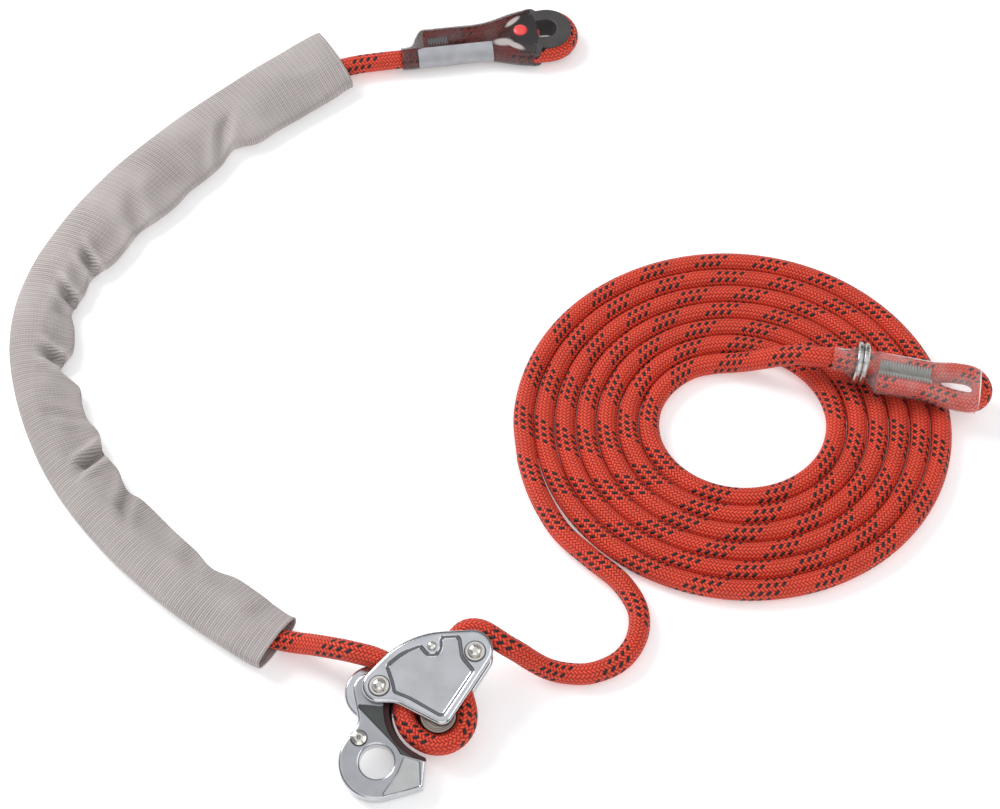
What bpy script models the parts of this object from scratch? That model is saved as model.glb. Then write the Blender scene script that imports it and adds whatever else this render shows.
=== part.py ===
# Tree climbing lanyard: a red 12 mm rope with a cam adjuster, a thimble eye under a
# smoky sleeve at one end, a sewn stopper end with two steel rings at the other, and a
# woven protective sleeve. It lies on the floor as it is put away, the spare rope coiled.
# Lengths are in metres, +Z is up, and the floor is z = 0.

import math

import bmesh
import bpy
from mathutils import Matrix, Vector

# Rope
ROPE_DIAMETER = 0.012
FIT_GAP = 0.0003
ROPE_RADIUS = ROPE_DIAMETER / 2
ROPE_POINT_SPACING = 0.026
TIGHT_POINT_SPACING = 0.0075
ROPE_SIDES_RESOLUTION = 2
STRAIGHT_END = 0.0020
CUT_OVERRUN = 0.002

# Adjuster: where it lies, and the places of its pins in its own plane. The first
# coordinate runs to the right, the second up the plates, both from the pivot.
DEVICE_X = -0.0650
DEVICE_Y = -0.2230
DEVICE_TILT = math.radians(14)
EXIT_PIN = Vector((0.0527, 0.0195))
GUIDE_PIN = Vector((0.0289, 0.0226))
BOLLARD_PLACE = Vector((0.0325, -0.0155))
ARM_EYE = Vector((-0.0011, -0.0413))
ARM_RIVET_PLACE = Vector((-0.0109, -0.0282))

# Adjuster: plates and what lies between them
PLATE_THICKNESS = 0.003
PLATE_EDGE_BEVEL = 0.0008
PANEL_DEPTH = 0.0008
CHANNEL_CLEARANCE = 0.00075
ROPE_CHANNEL = ROPE_DIAMETER + 2 * CHANNEL_CLEARANCE
PIVOT_LOBE = ((0, 0.0006), 0.0098)
REAR_LOBE = ((-0.0040, 0.0003), 0.0160)
EXIT_LOBE = ((0.0512, 0.0208), 0.0116)
APEX_LOBE = ((0.0346, -0.0154), 0.0062)
BROW_LOBE = ((0.0379, -0.0194), 0.0510)
FRONT_WAIST = ((0.0055, -0.0228), -0.0136)
REAR_WAIST = ((0.0120, -0.0270), -0.0140)
PANEL_APEX = ((0.0340, -0.0133), 0.0024)
PANEL_RIGHT = ((0.0494, 0.0086), 0.0015)
PANEL_TOP_RIGHT = ((0.0414, 0.0254), 0.0024)
PANEL_TOP_MIDDLE = ((0.0360, 0.0258), 0.0017)
PANEL_TOP_LEFT = ((0.0218, 0.0208), 0.0012)
PANEL_BROW = ((0.0284, -0.0071), 0.0295)
PANEL_LEFT = ((0.0062, 0.0108), 0.0014)
PANEL_LOWER_LEFT = ((0.0102, -0.0018), 0.0016)
PANEL_WAIST = ((0.0042, -0.0321), -0.0288)
EXIT_BOSS_RADIUS = 0.0080
GUIDE_BOSS_RADIUS = 0.0054
PIVOT_BOSS_RADIUS = 0.0080

# Adjuster: fasteners
REAR_HEAD_HEIGHT = 0.0018
REAR_HEAD_RADIUS = 0.0055
MAIN_SHANK_RADIUS = 0.0028
MAIN_DOME_RADIUS = 0.0042
MAIN_DOME_HEIGHT = 0.0026
SEAT_RING_RADIUS = 0.0054
SEAT_RING_THICKNESS = 0.0008
GUIDE_SHANK_RADIUS = 0.0016
GUIDE_DOME_RADIUS = 0.0027
GUIDE_DOME_HEIGHT = 0.0016
GUIDE_HEAD_RADIUS = 0.0032
GUIDE_SPACER_WALL = 0.0015
EXIT_SPACER_WALL = 0.0017
PIVOT_BUSH_WALL = 0.0007
ARM_WASHER_RADIUS = 0.0062
ARM_WASHER_THICKNESS = 0.0009

# Adjuster: bollard that the rope turns round
BOLLARD_GROOVE_RADIUS = 0.0090
BOLLARD_FLANGE_RADIUS = 0.0099
BOLLARD_FLANGE_THICKNESS = 0.0012
BOLLARD_SCREW_RADIUS = 0.0025
BOLLARD_SCREW_DEPTH = 0.0100

# Adjuster: cam arm
ARM_EYE_RADIUS = 0.0095
ARM_EYE_LOBE_RADIUS = 0.0210
ARM_HUB_LOBE = ((0, 0), 0.0068)
ARM_SHOULDER = ((-0.0050, -0.0010), 0.0098)
ARM_WAIST = ((-0.0212, -0.0175), -0.0095)
ARM_HEEL = ((0.0229, -0.0542), 0.0018)
ARM_TOE = ((0.0248, -0.0392), 0.0012)
ARM_ROPE_SEAT = ((0.0324, -0.0114), -0.0272)
ARM_EDGE_BEVEL = 0.0009
GUSSET_DEPTH = 0.0012
GUSSET_TOE = ((0.0124, -0.0370), 0.0005)
GUSSET_LOW = ((0.0330, -0.0420), 0.0005)
GUSSET_HIGH = ((0.0340, -0.0060), 0.0005)
GUSSET_TOP = ((-0.0126, -0.0096), 0.0004)
GUSSET_HUB_RADIUS = 0.0102
GUSSET_EYE_RADIUS = 0.0133
POCKET_DEPTH = 0.0007
POCKET_LOW = ((0.0070, -0.0580), 0.0008)
POCKET_HEEL = ((0.0206, -0.0526), 0.0014)
POCKET_TOE = ((0.0208, -0.0418), 0.0012)
POCKET_TOP = ((0.0147, -0.0388), 0.0010)
POCKET_EYE_RADIUS = 0.0143
ARM_RIVET_SHANK = 0.0024
ARM_RIVET_TAIL_HEIGHT = 0.0010
ARM_RIVET_HEAD_RADIUS = 0.0042
ARM_RIVET_HEAD_HEIGHT = 0.0016
ARM_RIVET_BORE = 0.0011

# Thimble eye: where it lies, and its own sizes. The first coordinate of the eye runs
# along the rope towards the tip, from the centre of the ring.
EYE_X = 0.0320
EYE_Y = 0.2663
EYE_TURN = math.radians(8)
EYE_LOOP_RADIUS = 0.0148
EYE_LEG_SPREAD = 0.0070
# Points of a leg: place as a share of the nose's reach, and the share of the way from
# the leg's spread out to the loop's radius
EYE_LEG_SHARES = ((3.6, 0), (2.6, 0), (1.8, 0.31), (1, 0.86), (0.5, 0.98))
THIMBLE_HALF_THICKNESS = 0.0080
THIMBLE_FLANGE_RADIUS = 0.0163
THIMBLE_NOSE_REACH = 0.0173
THIMBLE_NOSE_RADIUS = 0.0066
THIMBLE_NOSE_HALF = 0.0058
THIMBLE_EDGE_BEVEL = 0.0007
THIMBLE_NOSE_STEP = -0.0104
THIMBLE_BORE_RADIUS = 0.0064
THIMBLE_BORE_SHIFT = 0.0036
THIMBLE_BORE_LEAD = 0.0004
LUG_START = -0.0104
LUG_LENGTH = 0.0062
LUG_ROOT = 0.0120
LUG_REACH = 0.0224
LUG_CORNER = 0.0015
KEEPER_BUTTON_RADIUS = 0.0044
KEEPER_BUTTON_DOME = 0.0011
KEEPER_TONGUE_WIDTH = 0.0036
KEEPER_TONGUE_HEIGHT = 0.0060
KEEPER_POST_RADIUS = 0.0022
KEEPER_POST_PLACE = -0.0068
KEEPER_POST_HALF = 0.0052
COVER_WALL = 0.0008
COVER_START = -0.0965
COVER_COLLAR_LENGTH = 0.0060
COVER_FLARE_END = -0.0815
COVER_END = -0.0112
# Rings of the cover: place as a share of the flare's end, half width as a share of the
# pair of legs, and the share of the way from the collar's height to the full height
COVER_SHARES = ((1, 1, 0), (0.75, 1, 0), (0.55, 1, 0), (0.36, 1.26, 1), (0.22, 1.48, 1))
COVER_MOUTH_SHARE = 1.545
EYE_ROPE_END = -0.0800
LABEL_END = -0.0450
LABEL_LENGTH = 0.0420
LABEL_THICKNESS = 0.0004
LABEL_INNER_EDGE = -0.0045
LABEL_TO = math.radians(176)
EYE_STITCH_START = -0.0740
EYE_STITCH_LENGTH = 0.0300
STITCH_WIDTH = 0.0070
STITCH_THICKNESS = 0.0008

# Sewn stopper end: it lies on the coil, its rings on the strands.
END_X = 0.2160
END_Y = -0.0132
END_TURN = math.radians(-8.6)
END_SLOPE = math.radians(6)
RING_RADIUS = 0.0130
RING_THICKNESS = 0.0034
RING_LIE_GAP = 0.0006
RING_SEAT_GAP = 0.0004
END_COLLAR_OFFSET = 0.0040
END_LEG_SPREAD = 0.0063
END_LOOP_RADIUS = 0.0086
END_COLLAR_START = -0.0170
END_COLLAR_SHARE = 0.56
END_FLARE_SHARE = 1.25
END_FLARE_RADIUS = 0.0096
END_DOUBLE_START = 0.0150
END_LOOP_PLACE = 0.0644
END_COVER_END = 0.0720
END_ROPE_END = 0.0110
# Points of a leg: share of the way to the loop's place, and from spread to loop radius
END_LEG_SHARES = ((0, 0), (0.5, 0), (0.765, 0.33))
# Rings of the cover: place as a share of the loop's place, share of the way from the
# legs' half width to the loop's, and height as a share of the collar's
END_COVER_SHARES = ((0.158, 0, 1.03), (0.466, 0, 1.03), (0.78, 0.29, 1.03), (0.92, 0.9, 1),
                    (1, 1, 1), (1.07, 0.69, 1))
END_MOUTH_SHARE = 0.18
END_STITCH_START = 0.0160
END_STITCH_LENGTH = 0.0310

# Coil: one rope laid in a flat spiral, slightly wider than deep
COIL_X = 0.1431
COIL_Y = -0.0399
COIL_OUTER_RADIUS = 0.1260
COIL_WIDENING = 0.0021
COIL_GAP = 0.00048
COIL_START_ANGLE = math.radians(192)
COIL_TURNS = 6.25
COIL_END_DRIFT = 0.0008
COIL_POINTS_PER_TURN = 24

# Woven sleeve
SLEEVE_WALL = 0.0011
SLEEVE_REACH = 0.0200
SLEEVE_HEIGHT = 0.0162
SLEEVE_START = 0.0405
SLEEVE_LENGTH = 0.5675
SLEEVE_POINTS_AROUND = 16
SLEEVE_EDGE_POWER = 0.55
SLEEVE_RISE_START = 0.0080

# Materials: colour, roughness, metallic
ROPE_RED = ((0.68, 0.055, 0.03), 0.75, 0.0)
PLATE_ALUMINIUM = ((0.70, 0.71, 0.73), 0.28, 1.0)
ARM_ALUMINIUM = ((0.56, 0.57, 0.59), 0.3, 1.0)
STEEL = ((0.66, 0.63, 0.58), 0.22, 1.0)
RING_STEEL = ((0.62, 0.62, 0.60), 0.3, 1.0)
POLYMER_WHITE = ((0.72, 0.72, 0.70), 0.5, 0.0)
THIMBLE_BLACK = ((0.03, 0.03, 0.032), 0.5, 0.0)
KEEPER_RED = ((0.75, 0.06, 0.05), 0.4, 0.0)
SMOKE_COVER = ((0.10, 0.06, 0.06), 0.25, 0.0)
CLEAR_COVER = ((0.78, 0.62, 0.60), 0.15, 0.0)
LABEL_WHITE = ((0.75, 0.75, 0.77), 0.4, 0.0)
THREAD_GREY = ((0.30, 0.32, 0.31), 0.8, 0.0)
SLEEVE_GREY = ((0.40, 0.36, 0.34), 0.9, 0.0)

# Sleeves round the shanks of the pins
GUIDE_SPACER_RADIUS = GUIDE_SHANK_RADIUS + FIT_GAP + GUIDE_SPACER_WALL
EXIT_SPACER_RADIUS = MAIN_SHANK_RADIUS + FIT_GAP + EXIT_SPACER_WALL
PIVOT_BUSH_RADIUS = MAIN_SHANK_RADIUS + FIT_GAP + PIVOT_BUSH_WALL

# Heights in the adjuster, from its rear rivet heads to the front
REAR_PLATE_BACK = REAR_HEAD_HEIGHT + FIT_GAP
CHANNEL_BACK = REAR_PLATE_BACK + PLATE_THICKNESS
CHANNEL_FRONT = CHANNEL_BACK + ROPE_CHANNEL
PLATE_FRONT = CHANNEL_FRONT + PLATE_THICKNESS
CHANNEL_MIDDLE = (CHANNEL_BACK + CHANNEL_FRONT) / 2
ARM_BACK = CHANNEL_BACK + ARM_WASHER_THICKNESS + 2 * FIT_GAP
ARM_FRONT = CHANNEL_FRONT - ARM_WASHER_THICKNESS - 2 * FIT_GAP
DOME_SEAT = PLATE_FRONT + SEAT_RING_THICKNESS + 2 * FIT_GAP
ARM_REACH = -ARM_EYE.y + ARM_EYE_LOBE_RADIUS
DEVICE_Z = ARM_REACH * math.sin(DEVICE_TILT) - ARM_BACK * math.cos(DEVICE_TILT)

DEVICE_MATRIX = (Matrix.Translation((DEVICE_X, DEVICE_Y, DEVICE_Z))
                 @ Matrix.Rotation(DEVICE_TILT, 4, "X"))
EYE_MATRIX = (Matrix.Translation((EYE_X, EYE_Y, THIMBLE_HALF_THICKNESS))
              @ Matrix.Rotation(EYE_TURN, 4, "Z"))
END_Z = ROPE_DIAMETER + RING_RADIUS + RING_LIE_GAP
END_MATRIX = (Matrix.Translation((END_X, END_Y, END_Z))
              @ Matrix.Rotation(END_TURN, 4, "Z") @ Matrix.Rotation(END_SLOPE, 4, "Y"))

# Route of the rope from the eye's collar, through the sleeve, to the adjuster: chosen
# by hand along the photographed curve.
UPPER_ROUTE = [
    (-0.0780, 0.2437, 0.0080), (-0.0930, 0.2410, 0.0079), (-0.1100, 0.2350, 0.0079),
    (-0.1290, 0.2255, 0.0079), (-0.1500, 0.2125, 0.0079), (-0.1715, 0.1965, 0.0079),
    (-0.1935, 0.1780, 0.0079), (-0.2145, 0.1565, 0.0079), (-0.2330, 0.1325, 0.0079),
    (-0.2495, 0.1065, 0.0079), (-0.2625, 0.0800, 0.0079), (-0.2725, 0.0515, 0.0079),
    (-0.2775, 0.0220, 0.0079), (-0.2780, -0.0060, 0.0079), (-0.2735, -0.0325, 0.0079),
    (-0.2630, -0.0575, 0.0079), (-0.2480, -0.0805, 0.0079), (-0.2290, -0.1035, 0.0079),
    (-0.2080, -0.1260, 0.0079), (-0.1865, -0.1460, 0.0079), (-0.1650, -0.1632, 0.0079),
    (-0.1450, -0.1770, 0.0080), (-0.1285, -0.1860, 0.0088), (-0.1143, -0.1912, 0.0118),
    (-0.1040, -0.1950, 0.0162), (-0.0939, -0.1994, 0.0210), (-0.0850, -0.2032, 0.0246),
]
# Route through the adjuster, in its own plane: over the pivot, round the bollard, out
# between the guide pin and the exit pin.
DEVICE_ROUTE = [
    (-0.0125, 0.0210), (-0.0040, 0.0187), (0.0040, 0.0148), (0.0102, 0.0090),
    (0.0136, 0.0015), (0.0136, -0.0065), (0.0136, -0.0140), (0.0163, -0.0213),
    (0.0217, -0.0270), (0.0290, -0.0304), (0.0368, -0.0302), (0.0434, -0.0264),
    (0.0474, -0.0200), (0.0480, -0.0125), (0.0460, -0.0040), (0.0432, 0.0045),
    (0.0410, 0.0130), (0.0404, 0.0215), (0.0425, 0.0295), (0.0482, 0.0345),
    (0.0555, 0.0345), (0.0618, 0.0312),
]
# Route from the adjuster to the coil: down to the floor and round the curl.
TAIL_ROUTE = [
    (0.0040, -0.1998, 0.0254), (0.0120, -0.2022, 0.0203), (0.0200, -0.2044, 0.0138),
    (0.0280, -0.2061, 0.0085), (0.0370, -0.2075, 0.0062), (0.0520, -0.2078, 0.0060),
    (0.0690, -0.2000, 0.0060), (0.0788, -0.1855, 0.0060), (0.0803, -0.1678, 0.0060),
    (0.0712, -0.1492, 0.0060), (0.0542, -0.1327, 0.0060), (0.0374, -0.1151, 0.0060),
    (0.0268, -0.0954, 0.0060), (0.0213, -0.0803, 0.0060),
]
# Route from the coil's inner end up on to the strands, to the sewn end's collar.
INNER_ROUTE = [
    (0.1440, 0.0038, 0.0078), (0.1530, 0.0022, 0.0118),
    (0.1615, 0.0004, 0.0168), (0.1705, -0.0012, 0.0220), (0.1800, -0.0029, 0.0256),
    (0.1900, -0.0050, 0.0272),
]
# Sleeve: how far its edges lie from the rope, as shares of their full reach, from the
# eye's end to the adjuster's end. The inner edge is puckered into folds.
SLEEVE_OUTER_SHARES = (
    1.62, 1.48, 1.33, 1.23, 1.14, 1.08, 1.03, 1.0, 0.98, 0.99, 1.03, 1.05, 1.07, 1.09, 1.1, 1.12,
    1.1, 1.07, 1.01, 0.91, 0.77, 0.65, 0.57, 0.56, 0.6, 0.66, 0.72, 0.77, 0.8, 0.83, 0.83, 0.84,
    0.85, 0.86, 0.87, 0.92, 1.0,
)
SLEEVE_INNER_SHARES = (
    0.8, 1.04, 1.18, 1.27, 1.3, 1.34, 1.07, 1.33, 1.41, 1.39, 1.45, 1.35, 1.16, 1.17, 1.1, 0.78,
    0.81, 0.69, 0.95, 1.02, 0.72, 1.27, 1.28, 1.27, 1.38, 1.16, 1.19, 0.99, 1.11, 1.11, 1.07, 1.05,
    0.91, 1.08, 1.07, 0.94, 0.75,
)


def clear_scene():
    for item in list(bpy.data.objects):
        bpy.data.objects.remove(item, do_unlink=True)


def make_collections():
    groups = []
    for name in ("climbing_lanyard", "cutters"):
        group = bpy.data.collections.new(name)
        bpy.context.scene.collection.children.link(group)
        groups.append(group)
    return groups


def make_material(name, look):
    colour, roughness, metallic = look
    material = bpy.data.materials.new(name)
    material.use_nodes = True
    shader = material.node_tree.nodes["Principled BSDF"]
    shader.inputs["Base Color"].default_value = (*colour, 1.0)
    shader.inputs["Roughness"].default_value = roughness
    shader.inputs["Metallic"].default_value = metallic
    return material


def make_frame(name, matrix):
    empty = bpy.data.objects.new(name, None)
    PARTS.objects.link(empty)
    empty.matrix_world = matrix
    return empty


def finish(item, look, frame=None, place=(0, 0, 0)):
    item.data.materials.clear()
    item.data.materials.append(make_material(item.name + "_material", look))
    if frame is not None:
        item.parent = frame
    item.location = place
    return item


def as_cutter(item, frame=None, place=(0, 0, 0)):
    for group in list(item.users_collection):
        group.objects.unlink(item)
    CUTTERS.objects.link(item)
    item.hide_render = True
    item.display_type = "WIRE"
    if frame is not None:
        item.parent = frame
    item.location = place
    return item


def boolean(item, other, operation="DIFFERENCE"):
    step = item.modifiers.new(operation.lower() + "_" + other.name, "BOOLEAN")
    step.operation = operation
    step.object = other
    step.solver = "EXACT"


def bevel(item, width, segments=2):
    step = item.modifiers.new("bevel", "BEVEL")
    step.width = width
    step.segments = segments
    step.limit_method = "ANGLE"
    step.angle_limit = math.radians(50)


def smooth_shading(item, angle=math.radians(35)):
    item.data.shade_smooth()
    item.data.set_sharp_from_angle(angle=angle)


# Turned pieces: a profile of (radius, height) pairs, its outer side from top to bottom
def turned(name, profile, steps, ring=False):
    mesh = bpy.data.meshes.new(name)
    points = [(radius, 0, height) for radius, height in profile]
    edges = [(i, i + 1) for i in range(len(points) - 1)]
    if ring:
        edges.append((len(points) - 1, 0))
    mesh.from_pydata(points, edges, [])
    item = bpy.data.objects.new(name, mesh)
    PARTS.objects.link(item)
    step = item.modifiers.new("turn", "SCREW")
    step.axis = "Z"
    step.steps = steps
    step.render_steps = steps
    step.use_merge_vertices = True
    step.merge_threshold = FIT_GAP / 30
    return item


def turned_ring(name, inner, outer, bottom, top, steps):
    profile = [(inner, top), (outer, top), (outer, bottom), (inner, bottom)]
    return turned(name, profile, steps, ring=True)


def dome_profile(radius, base, height, rings=4):
    points = []
    for i in range(rings):
        angle = math.pi / 2 * (1 - i / rings)
        points.append((radius * math.cos(angle), base + height * math.sin(angle)))
    points[0] = (0, base + height)
    points.append((radius, base))
    return points


# Flat outlines: a belt laid round discs. A disc with a negative radius lies outside
# the outline and makes a hollow in it.
def belt(discs, inset=0, arc_step=math.radians(12)):
    discs = [(centre, radius - inset) for centre, radius in discs]
    count = len(discs)
    leave = []
    for i, (centre, radius) in enumerate(discs):
        other, other_radius = discs[(i + 1) % count]
        run = Vector(other) - Vector(centre)
        heading = math.atan2(run.y, run.x)
        leave.append(heading - math.acos((radius - other_radius) / run.length))
    points = []
    for i, (centre, radius) in enumerate(discs):
        start, stop = leave[i - 1], leave[i]
        sweep = (stop - start) % math.tau
        if radius < 0:
            sweep -= math.tau
        pieces = max(1, math.ceil(abs(sweep) / arc_step))
        for k in range(pieces + 1):
            angle = start + sweep * k / pieces
            points.append((centre[0] + radius * math.cos(angle),
                           centre[1] + radius * math.sin(angle)))
    return points


def circle(centre, radius, steps=16):
    return [(centre[0] + radius * math.cos(math.tau * i / steps),
             centre[1] + radius * math.sin(math.tau * i / steps)) for i in range(steps)]


def outline_curve(name, outlines, bottom, top, edge):
    curve = bpy.data.curves.new(name, "CURVE")
    curve.dimensions = "2D"
    curve.fill_mode = "BOTH"
    curve.extrude = (top - bottom) / 2 - edge
    curve.bevel_depth = edge
    curve.bevel_resolution = 1
    curve.render_resolution_u = 0
    for outline in outlines:
        spline = curve.splines.new("POLY")
        spline.points.add(len(outline) - 1)
        for point, (x, y) in zip(spline.points, outline):
            point.co = (x, y, 0, 1)
        spline.use_cyclic_u = True
    item = bpy.data.objects.new(name, curve)
    PARTS.objects.link(item)
    item.location = (0, 0, (bottom + top) / 2)
    return item


def meshed(item):
    bpy.context.view_layer.update()
    graph = bpy.context.evaluated_depsgraph_get()
    mesh = bpy.data.meshes.new_from_object(item.evaluated_get(graph))
    mesh.transform(item.matrix_world)
    weld(mesh)
    name, old = item.name, item.data
    bpy.data.objects.remove(item, do_unlink=True)
    bpy.data.curves.remove(old)
    mesh.name = name
    solid = bpy.data.objects.new(name, mesh)
    PARTS.objects.link(solid)
    return solid


def weld(mesh):
    work = bmesh_from(mesh)
    bmesh.ops.remove_doubles(work, verts=work.verts, dist=FIT_GAP / 30)
    bmesh.ops.recalc_face_normals(work, faces=work.faces)
    work.to_mesh(mesh)
    work.free()


def bmesh_from(mesh):
    work = bmesh.new()
    work.from_mesh(mesh)
    return work


# A prism of drawn outlines, its edges rounded outwards by the given radius
def prism(name, outlines, bottom, top, edge=0):
    return meshed(outline_curve(name, outlines, bottom, top, edge))


# Tubes: a smooth curve through the route's points, read at even steps
def smooth_route(points, pieces=16):
    route = [Vector(point) for point in points]
    ends = [2 * route[0] - route[1]] + route + [2 * route[-1] - route[-2]]
    out = []
    for i in range(1, len(ends) - 2):
        out.extend(smooth_span(ends[i - 1:i + 3], pieces))
    out.append(route[-1].copy())
    return out


# Which knots each level of the curve's construction lies between
SPAN_KNOTS = {1: ((0, 1), (1, 2), (2, 3)), 2: ((0, 2), (1, 3)), 3: ((1, 2),)}


def smooth_span(four, pieces):
    knots = [0.0]
    for a, b in zip(four, four[1:]):
        knots.append(knots[-1] + math.sqrt((b - a).length))
    return [span_point(four, knots, knots[1] + (knots[2] - knots[1]) * k / pieces)
            for k in range(pieces)]


def span_point(four, knots, at):
    level = list(four)
    for depth in (1, 2, 3):
        nearest = []
        for i in range(len(level) - 1):
            low, high = SPAN_KNOTS[depth][i]
            share = (at - knots[low]) / (knots[high] - knots[low])
            nearest.append(level[i].lerp(level[i + 1], share))
        level = nearest
    return level[0]


def route_length(route):
    return sum((b - a).length for a, b in zip(route, route[1:]))


def point_at(route, distance):
    for a, b in zip(route, route[1:]):
        step = (b - a).length
        if distance <= step:
            return a.lerp(b, distance / step)
        distance -= step
    return route[-1].copy()


def resample(route, spacing, trim_start=0, trim_end=0):
    length = route_length(route) - trim_start - trim_end
    count = max(2, round(length / spacing))
    return [point_at(route, trim_start + length * i / count) for i in range(count + 1)]


def tube(name, points, radius, resolution):
    curve = bpy.data.curves.new(name, "CURVE")
    curve.dimensions = "3D"
    curve.bevel_depth = radius
    curve.bevel_resolution = resolution
    curve.use_fill_caps = True
    curve.render_resolution_u = 0
    spline = curve.splines.new("POLY")
    spline.points.add(len(points) - 1)
    for point, place in zip(spline.points, points):
        point.co = (*place, 1)
    item = bpy.data.objects.new(name, curve)
    PARTS.objects.link(item)
    return item


# Lofted shells: rings of points joined in turn, given a wall by Solidify
def loft(name, rings, wall, closed=True):
    around = len(rings[0])
    points = [point for ring in rings for point in ring]
    faces = []
    for i in range(len(rings) - 1):
        for k in range(around if closed else around - 1):
            n = (k + 1) % around
            faces.append((i * around + k, (i + 1) * around + k,
                          (i + 1) * around + n, i * around + n))
    mesh = bpy.data.meshes.new(name)
    mesh.from_pydata(points, [], faces)
    item = bpy.data.objects.new(name, mesh)
    PARTS.objects.link(item)
    step = item.modifiers.new("wall", "SOLIDIFY")
    step.thickness = wall
    step.offset = -1
    return item


def stadium_ring(place, middle, half_width, half_height, ends=8):
    ring = []
    flat = half_width - half_height
    for side in (1, -1):
        for i in range(ends + 1):
            angle = side * math.pi / 2 - math.pi * i / ends
            ring.append(Vector((place, middle + side * flat + half_height * math.cos(angle),
                                half_height * math.sin(angle))))
    return ring


# Adjuster
def device_point(u, v, n=CHANNEL_MIDDLE):
    return DEVICE_MATRIX @ Vector((u, v, n))


def side_plate(name, discs, pins, bottom, frame):
    edge = PLATE_EDGE_BEVEL
    outlines = [belt(discs, edge)]
    outlines += [circle(place, radius + FIT_GAP + edge) for place, radius in pins]
    plate = prism(name, outlines, bottom, bottom + PLATE_THICKNESS, edge)
    return finish(plate, PLATE_ALUMINIUM, frame)


def cut_recess(item, name, outline, face, depth, frame):
    cutter = prism(name, [outline], face - depth, face + CUT_OVERRUN)
    boolean(item, as_cutter(cutter, frame))


def front_plate(frame):
    discs = [PIVOT_LOBE, FRONT_WAIST, APEX_LOBE, EXIT_LOBE, BROW_LOBE]
    pins = [((0, 0), MAIN_SHANK_RADIUS), (EXIT_PIN, MAIN_SHANK_RADIUS),
            (GUIDE_PIN, GUIDE_SHANK_RADIUS)]
    plate = side_plate("front_plate", discs, pins, CHANNEL_FRONT, frame)
    panel = belt([PANEL_APEX, PANEL_RIGHT, (EXIT_PIN, -EXIT_BOSS_RADIUS), PANEL_TOP_RIGHT,
                  PANEL_TOP_MIDDLE, (GUIDE_PIN, -GUIDE_BOSS_RADIUS), PANEL_TOP_LEFT, PANEL_BROW,
                  PANEL_LEFT, ((0, 0), -PIVOT_BOSS_RADIUS), PANEL_LOWER_LEFT, PANEL_WAIST])
    cut_recess(plate, "front_panel_cutter", panel, PLATE_FRONT, PANEL_DEPTH, frame)


def rear_plate(frame):
    discs = [REAR_LOBE, REAR_WAIST, APEX_LOBE, EXIT_LOBE, BROW_LOBE]
    pins = [((0, 0), MAIN_SHANK_RADIUS), (EXIT_PIN, MAIN_SHANK_RADIUS),
            (GUIDE_PIN, GUIDE_SHANK_RADIUS), (BOLLARD_PLACE, BOLLARD_SCREW_RADIUS)]
    side_plate("rear_plate", discs, pins, REAR_PLATE_BACK, frame)


def plate_rivet(name, place, shank, head, dome, dome_height, seat, frame):
    profile = dome_profile(dome, seat, dome_height)
    profile += [(shank, seat), (shank, REAR_HEAD_HEIGHT), (head, REAR_HEAD_HEIGHT),
                (head, REAR_HEAD_HEIGHT / 2), (head - REAR_HEAD_HEIGHT / 2, 0), (0, 0)]
    rivet = turned(name, profile, 24)
    smooth_shading(rivet)
    finish(rivet, STEEL, frame, (*place, 0))


def seat_ring(name, place, frame):
    bottom = PLATE_FRONT + FIT_GAP
    ring = turned_ring(name, MAIN_SHANK_RADIUS + FIT_GAP, SEAT_RING_RADIUS,
                       bottom, bottom + SEAT_RING_THICKNESS, 24)
    finish(ring, STEEL, frame, (*place, 0))


def channel_spacer(name, place, shank, radius, frame):
    ring = turned_ring(name, shank + FIT_GAP, radius,
                       CHANNEL_BACK + FIT_GAP, CHANNEL_FRONT - FIT_GAP, 24)
    smooth_shading(ring)
    finish(ring, STEEL, frame, (*place, 0))


def fasteners(frame):
    plate_rivet("pivot_rivet", (0, 0), MAIN_SHANK_RADIUS, REAR_HEAD_RADIUS,
                MAIN_DOME_RADIUS, MAIN_DOME_HEIGHT, DOME_SEAT, frame)
    plate_rivet("exit_rivet", EXIT_PIN, MAIN_SHANK_RADIUS, REAR_HEAD_RADIUS,
                MAIN_DOME_RADIUS, MAIN_DOME_HEIGHT, DOME_SEAT, frame)
    plate_rivet("guide_rivet", GUIDE_PIN, GUIDE_SHANK_RADIUS, GUIDE_HEAD_RADIUS,
                GUIDE_DOME_RADIUS, GUIDE_DOME_HEIGHT, PLATE_FRONT + FIT_GAP, frame)
    seat_ring("pivot_seat_ring", (0, 0), frame)
    seat_ring("exit_seat_ring", EXIT_PIN, frame)
    channel_spacer("pivot_bush", (0, 0), MAIN_SHANK_RADIUS, PIVOT_BUSH_RADIUS, frame)
    channel_spacer("exit_spacer", EXIT_PIN, MAIN_SHANK_RADIUS, EXIT_SPACER_RADIUS, frame)
    channel_spacer("guide_spacer", GUIDE_PIN, GUIDE_SHANK_RADIUS, GUIDE_SPACER_RADIUS, frame)


def bollard(frame):
    low, high = CHANNEL_BACK + FIT_GAP, CHANNEL_FRONT - FIT_GAP
    rim_low, rim_high = low + BOLLARD_FLANGE_THICKNESS, high - BOLLARD_FLANGE_THICKNESS
    slope = BOLLARD_FLANGE_THICKNESS
    bore = BOLLARD_SCREW_RADIUS + FIT_GAP
    profile = [(0, high), (BOLLARD_FLANGE_RADIUS, high), (BOLLARD_FLANGE_RADIUS, rim_high),
               (BOLLARD_GROOVE_RADIUS, rim_high - slope),
               (BOLLARD_GROOVE_RADIUS, rim_low + slope),
               (BOLLARD_FLANGE_RADIUS, rim_low), (BOLLARD_FLANGE_RADIUS, low), (bore, low),
               (bore, low + BOLLARD_SCREW_DEPTH), (0, low + BOLLARD_SCREW_DEPTH)]
    spool = turned("bollard", profile, 36)
    smooth_shading(spool)
    finish(spool, PLATE_ALUMINIUM, frame, (*BOLLARD_PLACE, 0))


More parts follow.
